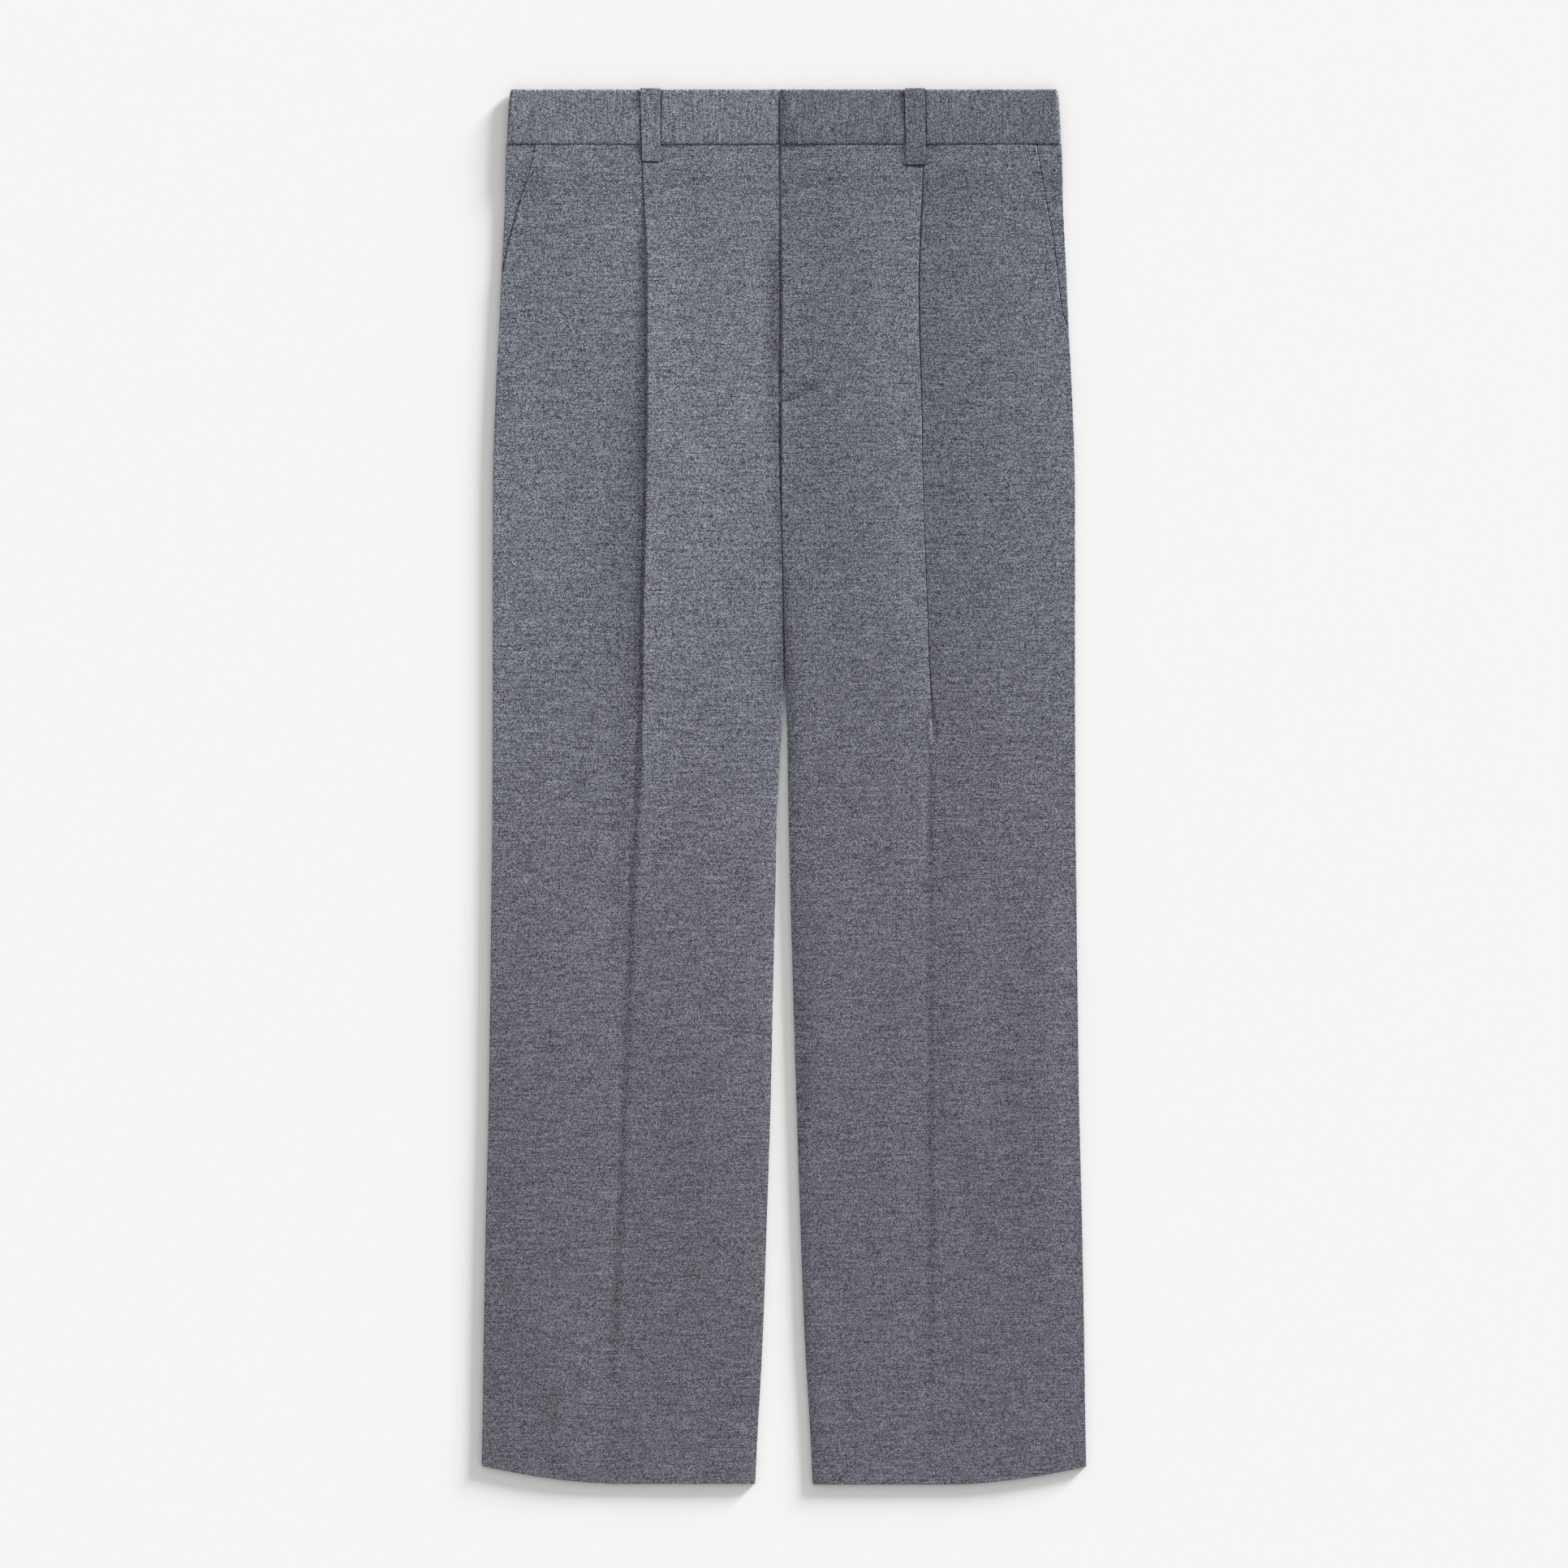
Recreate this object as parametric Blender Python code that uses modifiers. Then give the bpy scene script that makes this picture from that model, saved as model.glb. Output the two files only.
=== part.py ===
"""Pleated trousers, laid flat with the front up.

Sizes are in millimetres and the scene is in metres. +X points to the wearer's left, +Y to the waist and
+Z up, away from the surface that the trousers lie on. Each cut piece is a wall of cloth: an open sheet
drawn through sections across the garment, thickened to both sides.

"down" is the distance below the top of the waistband, and "across" the distance from the centre line,
outwards on the piece's own side. Heights are those of the middle of the cloth.
"""
import math
from collections import namedtuple

import bpy

MM = 0.001

# Cloth and layers
CLOTH = 1.1
BAND_CLOTH = 1.5
GAP = 0.3
PLY = CLOTH + GAP
BACK_HEIGHT = CLOTH / 2
ROOT_HEIGHT = BACK_HEIGHT + PLY
SIDE_HEIGHT = BACK_HEIGHT + 2 * PLY
MOUTH_HEIGHT = BACK_HEIGHT + 3 * PLY
SEAM_HEIGHT = (BACK_HEIGHT + SIDE_HEIGHT) / 2
ROLL_RADIUS = SIDE_HEIGHT - SEAM_HEIGHT - GAP / 2
WAIST_LIFT = PLY
LIFT_END = 58.0
LIFT_GONE = 85.0

# Overall sizes
LENGTH = 1050.0
LOOP_RISE = 1.2
BAND_DEPTH = 40.6
WAIST_SEAM = BAND_DEPTH + GAP
HEM_RISE = 13.4
HEM_START = 1005.0
HEM_POWER = 1.7
FLY_END = 228.0
FLY_JOINED = 236.0
FLY_UNDERLAP = 12.0
POCKET_UNDERLAP = 12.0
MOUTH_LAY = 14.0
MOUTH_TURN = 4.5

RIGHT = -1
LEFT = 1

# Outline and creases. The inner edges are true X, the rest is across.
Level = namedtuple("Level", "down side right_inner left_inner right_fold left_fold")
OUTLINE = [
    Level(WAIST_SEAM, 208.8, -3.2, -2.9, 106.9, 105.1),
    Level(62.0, 209.5, -3.2, -2.9, 106.6, 105.1),
    Level(85.0, 209.9, -3.2, -2.9, 106.1, 104.2),
    Level(115.0, 211.3, -3.2, -2.9, 105.6, 103.0),
    Level(146.0, 212.8, -3.0, -2.7, 105.2, 102.1),
    Level(182.0, 214.4, -2.7, -2.4, 105.1, 102.5),
    Level(236.0, 217.1, -2.9, -2.6, 105.1, 104.0),
    Level(290.0, 218.8, -2.6, -2.3, 105.7, 105.1),
    Level(323.0, 219.0, -1.9, -1.6, 106.2, 106.0),
    Level(360.0, 219.0, -1.0, -0.7, 107.3, 107.3),
    Level(402.0, 219.0, -0.2, 0.2, 108.1, 108.7),
    Level(448.0, 219.0, 0.0, 1.0, 108.3, 110.2),
    Level(482.0, 219.1, -2.1, 2.4, 109.4, 111.2),
    Level(543.0, 219.3, -5.2, 3.4, 111.6, 111.2),
    Level(604.0, 220.1, -6.9, 4.5, 114.2, 111.2),
    Level(665.0, 220.8, -8.5, 6.2, 116.3, 111.2),
    Level(757.0, 222.0, -10.3, 9.0, 119.0, 111.2),
    Level(848.0, 224.2, -12.8, 12.2, 123.0, 111.2),
    Level(940.0, 225.9, -16.0, 15.7, 127.3, 111.2),
    Level(1005.0, 226.8, -19.5, 19.5, 130.0, 111.2),
    Level(1050.0, 227.4, -21.7, 21.7, 132.0, 111.2),
]

# The pleat: how far the cloth goes under, how far it is turned and the height of its lowest layer.
# Below the pleat the same columns carry the pressed crease.
Pleat = namedtuple("Pleat", "down depth turn root")
PLEAT = [
    Pleat(WAIST_SEAM, 25.0, 180.0, ROOT_HEIGHT),
    Pleat(182.0, 20.5, 180.0, ROOT_HEIGHT),
    Pleat(290.0, 14.0, 180.0, ROOT_HEIGHT),
    Pleat(360.0, 9.5, 180.0, ROOT_HEIGHT),
    Pleat(402.0, 6.5, 180.0, ROOT_HEIGHT),
    Pleat(448.0, 2.6, 180.0, ROOT_HEIGHT),
    Pleat(464.0, 1.5, 180.0, ROOT_HEIGHT),
    Pleat(485.0, 1.5, 105.0, 2.2),
    Pleat(505.0, 1.5, 45.0, 2.9),
    Pleat(540.0, 1.5, 12.0, 3.5),
    Pleat(575.0, 1.5, 0.0, 3.85),
    Pleat(940.0, 1.5, 0.0, 3.75),
    Pleat(1050.0, 1.5, 0.0, 3.5),
]
FOLD_RADIUS = PLY / 2
FLAT_FOLD = 1.2
FOLD_STEPS = 4
ROLL_STEPS = 3

# Centre front and inside leg: the height of each front beside its inner edge, and how far the edge is
# rolled towards the back, from 0 at the fly to 1 below the crotch.
Centre = namedtuple("Centre", "down right left curl")
CENTRE = [
    Centre(WAIST_SEAM, 2.4, 3.9, 0.0),
    Centre(FLY_JOINED, 2.4, 3.9, 0.0),
    Centre(262.0, 3.0, 3.5, 0.0),
    Centre(290.0, SIDE_HEIGHT, SIDE_HEIGHT, 0.35),
    Centre(323.0, SIDE_HEIGHT, SIDE_HEIGHT, 1.0),
    Centre(1050.0, SIDE_HEIGHT, SIDE_HEIGHT, 1.0),
]

# Slanted pocket mouths, across at each level
Mouth = namedtuple("Mouth", "down right left")
MOUTH = [
    Mouth(WAIST_SEAM, 186.9, 189.8),
    Mouth(62.0, 191.3, 193.2),
    Mouth(85.0, 199.1, 197.2),
    Mouth(113.0, 206.4, 202.3),
    Mouth(141.5, 212.2, 206.0),
    Mouth(164.0, 213.3, 208.6),
    Mouth(182.0, 214.1, 214.0),
]
MOUTH_END = {RIGHT: 141.5, LEFT: 182.0}

# Where sections are drawn
STATIONS = [
    WAIST_SEAM, 58.0, 70.0, 85.0, 104.0, 124.0, 146.0, 163.0, 207.0, 228.0, 236.0, 262.0, 290.0, 323.0,
    360.0, 402.0, 448.0, 464.0, 485.0, 505.0, 540.0, 575.0, 665.0, 757.0, 848.0, 940.0, 1005.0, 1028.0,
    1050.0,
]
BACK_STATIONS = [
    WAIST_SEAM, 58.0, 70.0, 85.0, 124.0, 163.0, 207.0, 262.0, 290.0, 323.0, 360.0, 402.0, 448.0, 485.0,
    540.0, 604.0, 665.0, 757.0, 848.0, 940.0, 1005.0, 1028.0, 1050.0,
]
SIDE_COLUMNS = (0.0, 0.2, 0.4, 0.6, 0.8)
FOLD_APPROACH = 4.0
CENTRE_COLUMNS = (0.1, 0.22, 0.36, 0.5, 0.68, 0.86)
BACK_COLUMNS = (0.12, 0.24, 0.36, 0.5, 0.75)

# Waistband. The side column is across, and the crown raises or lowers the cloth.
BandRow = namedtuple("BandRow", "down side crown")
BAND_ROWS = [
    BandRow(0.0, 205.0, -0.2),
    BandRow(2.4, 206.0, 0.0),
    BandRow(8.0, 206.8, 0.1),
    BandRow(22.0, 207.7, 0.1),
    BandRow(36.0, 208.2, 0.0),
    BandRow(BAND_DEPTH, 208.3, -0.1),
]
BandColumn = namedtuple("BandColumn", "across right left")
BAND_COLUMNS = [
    BandColumn(190.0, 5.3, 5.3),
    BandColumn(150.0, 5.4, 5.4),
    BandColumn(118.0, 5.7, 5.7),
    BandColumn(100.0, 5.9, 5.9),
    BandColumn(80.0, 5.6, 5.7),
    BandColumn(62.0, 5.2, 5.6),
    BandColumn(45.0, 4.6, 6.2),
    BandColumn(36.0, 4.6, 6.4),
    BandColumn(10.0, 4.6, 6.4),
]
BAND_LAP_EDGE = -3.0
BAND_UNDERLAP_EDGE = 32.0
BACK_BAND_HEIGHT = WAIST_LIFT + BAND_CLOTH / 2
BAND_SIDE_HEIGHT = BAND_COLUMNS[0].right
BAND_SEAM_HEIGHT = (BACK_BAND_HEIGHT + BAND_SIDE_HEIGHT) / 2
BAND_ROLL = BAND_SIDE_HEIGHT - BAND_SEAM_HEIGHT - GAP / 2

# Belt loops
Loop = namedtuple("Loop", "name top bottom top_width bottom_width end")
FRONT_LOOPS = [
    Loop("front_loop_right", -100.5, -100.0, 15.3, 13.6, 53.8),
    Loop("front_loop_left", 98.5, 99.3, 15.4, 14.8, 56.2),
]
LOOP_UNDER_HEIGHT = 7.6
LOOP_TOP_HEIGHT = LOOP_UNDER_HEIGHT + PLY
LOOP_SAG_HEIGHT = 8.4
LOOP_TUCK = 9.0
LOOP_FLAT = 8.0
LOOP_SAG_START = 14.0
LOOP_SAG_END = 36.0
BACK_LOOPS = [("back_loop_right", -118.0), ("back_loop_centre", 0.0), ("back_loop_left", 118.0)]
BACK_LOOP_WIDTH = 14.0
BACK_LOOP_TOP = 0.8
BACK_LOOP_END = 54.0
LOOP_EDGE = 0.25

CLOTH_COLOUR = (0.165, 0.175, 0.205, 1.0)
BAND_COLOUR = (0.178, 0.189, 0.222, 1.0)


def clear_scene():
    """Start from an empty scene."""
    for thing in list(bpy.data.objects):
        bpy.data.objects.remove(thing)


def smooth(share):
    """A soft step from 0 to 1."""
    share = min(max(share, 0.0), 1.0)
    return share * share * (3 - 2 * share)


def between(low, high, share):
    return low + (high - low) * share


def look_up(table, key, value, column):
    """A column of a table, between the two rows on either side of the value."""
    for upper, lower in zip(table, table[1:]):
        start = getattr(upper, key)
        end = getattr(lower, key)
        if min(start, end) <= value <= max(start, end):
            share = (value - start) / (end - start)
            return between(getattr(upper, column), getattr(lower, column), share)
    nearest = min((table[0], table[-1]), key=lambda row: abs(getattr(row, key) - value))
    return getattr(nearest, column)


def side_name(side):
    return "left" if side == LEFT else "right"


def lift(down):
    """The waist lies on the back belt loops, and the cloth sinks to the surface below them."""
    return WAIST_LIFT * (1 - smooth((down - LIFT_END) / (LIFT_GONE - LIFT_END)))


def length_wise(down):
    """Y of a level. The loops' tops and the hem's lowest point are equally far from the origin."""
    return (LENGTH - LOOP_RISE) / 2 - down


def hem_level(down, share):
    """The level of a point near the hem, which rises towards the side seam."""
    if down <= HEM_START:
        return down
    rise = HEM_RISE * max(1 - share / 0.5, 0.0) ** HEM_POWER
    return between(HEM_START, LENGTH - rise, (down - HEM_START) / (LENGTH - HEM_START))


def arc(points, heading, turn, length, steps):
    """Go on from the last point along an arc, and return the new heading."""
    half = turn / steps / 2
    chord = length / steps * (math.sin(half) / half if half else 1.0)
    for step in range(steps):
        middle = heading + turn * (step + 0.5) / steps
        along, height = points[-1]
        points.append((along + chord * math.cos(middle), height + chord * math.sin(middle)))
    return heading + turn


def rolled_edge(extent, inward, height, up, curl, radius, wall):
    """From the tip of an edge to the flat cloth beside it, which lies inward of the tip."""
    turn = curl * math.pi / 2
    half = turn / ROLL_STEPS / 2
    chord = radius * math.pi / 2 / ROLL_STEPS * (math.tan(half) / half if half else 1.0)
    path = [(0.0, 0.0)]
    for step in range(ROLL_STEPS + 1):
        heading = turn * (1 - step / ROLL_STEPS)
        length = chord / 2 if step in (0, ROLL_STEPS) else chord
        along, climb = path[-1]
        path.append((along + length * math.cos(heading), climb + length * math.sin(heading)))
    tip = extent + inward * wall / 2 * math.sin(turn)
    rise = path[-1][1]
    return [(tip + inward * along, height + up * (climb - rise)) for along, climb in path]


def pleat_fold(fold, pleat_down):
    """The turned cloth of a pleat, from its lowest layer to the top one. Its fold faces outwards."""
    depth = look_up(PLEAT, "down", pleat_down, "depth")
    turn = math.radians(look_up(PLEAT, "down", pleat_down, "turn"))
    root = look_up(PLEAT, "down", pleat_down, "root")
    length = max(FOLD_RADIUS * math.pi * math.sqrt(turn / math.pi), FLAT_FOLD)
    path = [(0.0, 0.0)]
    heading = arc(path, 0.0, turn, length, FOLD_STEPS)
    reach = FOLD_RADIUS + CLOTH / 2
    straight = depth - reach
    along, height = path[-1]
    path.append((along + straight * math.cos(heading), height + straight * math.sin(heading)))
    middle = (along + path[-1][0]) / 2
    arc(path, heading, -turn, length, FOLD_STEPS)
    place = fold - (depth + reach) / 2
    return [(place - (along - middle), root + height) for along, height in path]


def front_section(side, down):
    """The middle of a front's cloth, from its outer edge to its inner edge."""
    name = side_name(side)
    fold = look_up(OUTLINE, "down", down, name + "_fold")
    inner = side * look_up(OUTLINE, "down", down, name + "_inner")
    if side == RIGHT and down <= FLY_END:
        inner -= FLY_UNDERLAP
    if down <= MOUTH_END[side]:
        extent = look_up(MOUTH, "down", down, name)
        edge = rolled_edge(extent, -1, MOUTH_HEIGHT, 1, 0.0, ROLL_RADIUS, CLOTH)
    else:
        extent = look_up(OUTLINE, "down", down, "side")
        edge = rolled_edge(extent, -1, SIDE_HEIGHT, 1, 1.0, ROLL_RADIUS, CLOTH)
    pleat = pleat_fold(fold, down)
    start, height = edge[-1]
    start -= MOUTH_LAY
    approach = fold + FOLD_APPROACH
    root = pleat[0][1]
    side_part = []
    for share in SIDE_COLUMNS:
        side_part.append((between(start, approach, share), between(height, root, smooth(share))))
    side_part.append((approach, root))
    inner_height = look_up(CENTRE, "down", down, name)
    curl = look_up(CENTRE, "down", down, "curl")
    inner_edge = rolled_edge(inner, 1, inner_height, 1, curl, ROLL_RADIUS, CLOTH)
    top_across, top_height = pleat[-1]
    centre_part = []
    for share in CENTRE_COLUMNS:
        across = between(top_across, inner_edge[-1][0], share)
        centre_part.append((across, between(top_height, inner_height, smooth(share))))
    return edge + side_part + pleat + centre_part + inner_edge[::-1]


def back_section(side, down):
    """The middle of a back's cloth, flat on the surface and rolled up at its edges."""
    extent = look_up(OUTLINE, "down", down, "side")
    inner = side * look_up(OUTLINE, "down", down, side_name(side) + "_inner")
    curl = look_up(CENTRE, "down", down, "curl")
    outer_edge = rolled_edge(extent, -1, BACK_HEIGHT, -1, 1.0, ROLL_RADIUS, CLOTH)
    inner_edge = rolled_edge(inner, 1, BACK_HEIGHT, -1, curl, ROLL_RADIUS, CLOTH)
    start = outer_edge[-1][0]
    end = inner_edge[-1][0]
    flat = [(between(start, end, share), BACK_HEIGHT) for share in BACK_COLUMNS]
    return outer_edge + flat + inner_edge[::-1]


def facing_section(side, down):
    """A pocket facing: rolled at the side seam, and flat under the front's pocket mouth."""
    extent = look_up(OUTLINE, "down", down, "side")
    edge = rolled_edge(extent, -1, SIDE_HEIGHT, 1, 1.0, ROLL_RADIUS, CLOTH)
    end = look_up(MOUTH, "down", down, side_name(side)) - POCKET_UNDERLAP
    start = edge[-1][0]
    return edge + [(between(start, end, share), SIDE_HEIGHT) for share in (0.5, 1.0)]


def leg_points(side, down, section):
    """A section of a leg panel as points in space."""
    outer = max(across for across, height in section)
    inner = min(across for across, height in section)
    points = []
    for across, height in section:
        level = hem_level(down, (outer - across) / (outer - inner))
        points.append((side * across, length_wise(level), height + lift(down)))
    return points


def make_material(name, colour):
    material = bpy.data.materials.new(name)
    material.use_nodes = True
    shader = material.node_tree.nodes["Principled BSDF"]
    shader.inputs["Base Color"].default_value = colour
    shader.inputs["Roughness"].default_value = 0.9
    shader.inputs["Metallic"].default_value = 0.0
    material.diffuse_color = colour
    return material


def add_piece(name, mesh, colour, collection):
    """Link a piece to the garment's collection with a material of its own."""
    piece = bpy.data.objects.new(name, mesh)
    collection.objects.link(piece)
    mesh.materials.append(make_material(name + "_cloth", colour))
    return piece


def sheet(name, rows, wall, colour, collection):
    """Cloth through rows of points, thickened to both sides."""
    width = len(rows[0])
    points = [tuple(value * MM for value in point) for row in rows for point in row]
    faces = []
    for row in range(len(rows) - 1):
        for column in range(width - 1):
            corner = row * width + column
            faces.append((corner, corner + 1, corner + width + 1, corner + width))
    mesh = bpy.data.meshes.new(name)
    mesh.from_pydata(points, [], faces)
    mesh.shade_smooth()
    piece = add_piece(name, mesh, colour, collection)
    thicken = piece.modifiers.new("Cloth thickness", "SOLIDIFY")
    thicken.thickness = wall * MM
    thicken.offset = 0.0
    thicken.use_even_offset = True
    thicken.use_rim = True
    return piece


def make_front(side, collection):
    turned = MOUTH_END[side] + MOUTH_TURN
    stations = {down for down in STATIONS if not MOUTH_END[side] <= down <= turned}
    stations = sorted(stations | {MOUTH_END[side], turned})
    rows = [leg_points(side, down, front_section(side, down)) for down in stations]
    return sheet(side_name(side) + "_front", rows, CLOTH, CLOTH_COLOUR, collection)


def make_back(side, collection):
    rows = [leg_points(side, down, back_section(side, down)) for down in BACK_STATIONS]
    return sheet(side_name(side) + "_back", rows, CLOTH, CLOTH_COLOUR, collection)


def make_facing(side, collection):
    stations = [down for down in STATIONS if down < MOUTH_END[side]] + [MOUTH_END[side]]
    rows = []
    for down in stations:
        points = [
            (side * across, length_wise(down), height + lift(down))
            for across, height in facing_section(side, down)
        ]
        rows.append(points)
    return sheet(side_name(side) + "_pocket_facing", rows, CLOTH, CLOTH_COLOUR, collection)


def make_front_band(side, collection):
    """One front half of the waistband. The left one laps over the right one at the fly."""
    name = side_name(side)
    end = BAND_LAP_EDGE if side == LEFT else -BAND_UNDERLAP_EDGE
    end_height = getattr(BAND_COLUMNS[-1], name)
    rows = []
    for row in BAND_ROWS:
        section = rolled_edge(row.side, -1, BAND_SIDE_HEIGHT, 1, 1.0, BAND_ROLL, BAND_CLOTH)
        section += [(column.across, getattr(column, name) + row.crown) for column in BAND_COLUMNS]
        section.append((end, end_height + row.crown))
        rows.append([(side * across, length_wise(row.down), height) for across, height in section])
    return sheet(name + "_waistband", rows, BAND_CLOTH, BAND_COLOUR, collection)


def make_back_band(collection):
    """The back of the waistband, rolled up at both sides to meet the front halves."""
    rows = []
    for row in BAND_ROWS:
        edge = rolled_edge(row.side, -1, BACK_BAND_HEIGHT, -1, 1.0, BAND_ROLL, BAND_CLOTH)
        half = edge + [(edge[-1][0] / 2, BACK_BAND_HEIGHT)]
        section = [(-across, height) for across, height in half] + [(0.0, BACK_BAND_HEIGHT)] + half[::-1]
        rows.append([(x, length_wise(row.down), height) for x, height in section])
    return sheet("back_waistband", rows, BAND_CLOTH, BAND_COLOUR, collection)


def make_front_loop(loop, collection):
    """A strip that lies on the waistband, with both ends turned under."""
    reach = FOLD_RADIUS + CLOTH / 2
    top = -LOOP_RISE + reach
    bottom = loop.end - reach
    half_turn = FOLD_RADIUS * math.pi
    path = [(LOOP_TUCK, LOOP_UNDER_HEIGHT), (top, LOOP_UNDER_HEIGHT)]
    arc(path, math.pi, -math.pi, half_turn, FOLD_STEPS)
    path += [(top + LOOP_FLAT, LOOP_TOP_HEIGHT), (LOOP_SAG_START, LOOP_SAG_HEIGHT)]
    path += [(LOOP_SAG_END, LOOP_SAG_HEIGHT), (bottom - LOOP_FLAT, LOOP_TOP_HEIGHT)]
    path.append((bottom, LOOP_TOP_HEIGHT))
    arc(path, 0.0, -math.pi, half_turn, FOLD_STEPS)
    path.append((loop.end - LOOP_TUCK, LOOP_UNDER_HEIGHT))
    rows = []
    for down, height in path:
        share = min(max(down / loop.end, 0.0), 1.0)
        middle = between(loop.top, loop.bottom, share)
        half = between(loop.top_width, loop.bottom_width, share) / 2
        level = length_wise(down)
        rows.append([(middle - half, level, height), (middle, level, height), (middle + half, level, height)])
    return sheet(loop.name, rows, CLOTH, BAND_COLOUR, collection)


def make_back_loop(name, x, collection):
    """A flat strip between the surface and the back of the waistband."""
    bpy.ops.mesh.primitive_cube_add(size=1.0)
    piece = bpy.context.object
    length = BACK_LOOP_END - BACK_LOOP_TOP
    middle = length_wise((BACK_LOOP_TOP + BACK_LOOP_END) / 2)
    piece.name = name
    piece.data.name = name
    piece.scale = (BACK_LOOP_WIDTH * MM, length * MM, CLOTH * MM)
    piece.location = (x * MM, middle * MM, CLOTH / 2 * MM)
    bpy.ops.object.transform_apply(location=False, rotation=False, scale=True)
    for holder in list(piece.users_collection):
        holder.objects.unlink(piece)
    collection.objects.link(piece)
    piece.data.materials.append(make_material(name + "_cloth", BAND_COLOUR))
    soften = piece.modifiers.new("Soft edges", "BEVEL")
    soften.width = LOOP_EDGE * MM
    soften.segments = 1
    return piece


def main():
    clear_scene()
    garment = bpy.data.collections.new("pleated_trousers")
    bpy.context.scene.collection.children.link(garment)
    for side in (RIGHT, LEFT):
        make_back(side, garment)
        make_facing(side, garment)
        make_front(side, garment)
        make_front_band(side, garment)
    make_back_band(garment)
    for loop in FRONT_LOOPS:
        make_front_loop(loop, garment)
    for name, x in BACK_LOOPS:
        make_back_loop(name, x, garment)


main()
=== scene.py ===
"""The looks of a pair of pleated trousers that lies flat with its front up.

Every cut piece is a thin sheet of cloth on the form of its solid. Sizes are in millimetres until a
mesh is made. "down" is the distance below the top of the waistband, and "across" the distance from
the centre line, outwards on the piece's own side. Heights are those of the middle of the cloth, or of
its top where a comment or a name says so.
"""

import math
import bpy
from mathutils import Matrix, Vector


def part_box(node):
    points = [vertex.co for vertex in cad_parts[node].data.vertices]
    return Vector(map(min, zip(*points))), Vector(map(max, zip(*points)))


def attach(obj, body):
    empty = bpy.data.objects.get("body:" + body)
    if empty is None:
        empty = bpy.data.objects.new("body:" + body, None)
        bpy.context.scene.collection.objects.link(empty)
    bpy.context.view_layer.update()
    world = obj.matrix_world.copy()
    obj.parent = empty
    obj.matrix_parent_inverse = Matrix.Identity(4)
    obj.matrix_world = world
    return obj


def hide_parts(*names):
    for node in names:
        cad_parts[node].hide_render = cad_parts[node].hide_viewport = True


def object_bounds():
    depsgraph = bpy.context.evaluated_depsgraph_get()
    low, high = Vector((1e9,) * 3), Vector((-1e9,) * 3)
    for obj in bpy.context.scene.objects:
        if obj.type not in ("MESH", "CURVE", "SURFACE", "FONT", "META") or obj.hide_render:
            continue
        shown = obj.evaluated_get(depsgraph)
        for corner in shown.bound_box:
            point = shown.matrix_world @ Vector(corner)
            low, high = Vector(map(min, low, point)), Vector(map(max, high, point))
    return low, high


bl_info = {
    "name": "Pleated Trousers",
    "version": (1, 0, 0),
    "blender": (4, 5, 0),
    "location": "3D View > Sidebar > Trousers",
    "description": "Sews the panels, waistband, loops and stitching of trousers laid flat",
    "category": "Object",
}

from collections import namedtuple

import bmesh
import bpy
from bpy.props import FloatProperty, FloatVectorProperty, IntProperty, PointerProperty
from mathutils import Matrix, Vector
from mathutils.bvhtree import BVHTree

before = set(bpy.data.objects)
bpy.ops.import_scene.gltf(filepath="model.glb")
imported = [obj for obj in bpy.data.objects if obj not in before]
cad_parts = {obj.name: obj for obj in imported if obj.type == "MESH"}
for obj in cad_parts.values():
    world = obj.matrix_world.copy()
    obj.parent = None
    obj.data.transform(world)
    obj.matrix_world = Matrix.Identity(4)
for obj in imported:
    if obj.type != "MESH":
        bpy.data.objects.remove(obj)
FRAME_LOW, FRAME_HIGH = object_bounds()

MM = 0.001
BODY = "root"
RIGHT = -1
LEFT = 1


def table_of(columns, *rows):
    """A table of measures with named columns, one tuple a row."""
    kind = namedtuple("Row", columns)
    return [kind(*row) for row in rows]


# Solids that the cloth lies on
SOLID_WALL = 1.1
SOLID_GAP = 0.3
PLY = SOLID_WALL + SOLID_GAP
SIDE_TOP = 2 * PLY + SOLID_WALL
SEAM_HEIGHT = SIDE_TOP / 2
WAIST_LIFT = PLY
LIFT_END = 58.0
LIFT_GONE = 85.0

# Overall sizes. The belt loops rise a little above the waistband, and the hem rises towards the side seams.
LOOP_RISE = 1.2
LENGTH = (FRAME_HIGH.y - FRAME_LOW.y) / MM - LOOP_RISE
WAIST_TOP = FRAME_HIGH.y / MM - LOOP_RISE
BAND_DEPTH = 40.6
WAIST_SEAM = BAND_DEPTH + SOLID_GAP
SEAM_DITCH = 0.9
SEAM_DITCH_WIDTH = 1.3
SEAM_FLAT = 0.1
BACK_SEAM_DIP = 0.1
HEM_SHORT = {RIGHT: 1.4, LEFT: 0.9}
HEM_RISE = 13.4
HEM_START = 1005.0
HEM_POWER = 1.7
HEM_RISE_SHARE = 0.5
HEM_EDGE = 0.3
FLY_END = 228.0
FLY_JOINED = 236.0
FLY_UNDERLAP = 12.0
INSIDE_LEG = 440.0
INSIDE_LEG_OPENS = 10.0
BACK_SEAM_ROOM = 0.05
POCKET_UNDERLAP = 12.0
MOUTH_LAY = 14.0
MOUTH_TURN = 4.5

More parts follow.
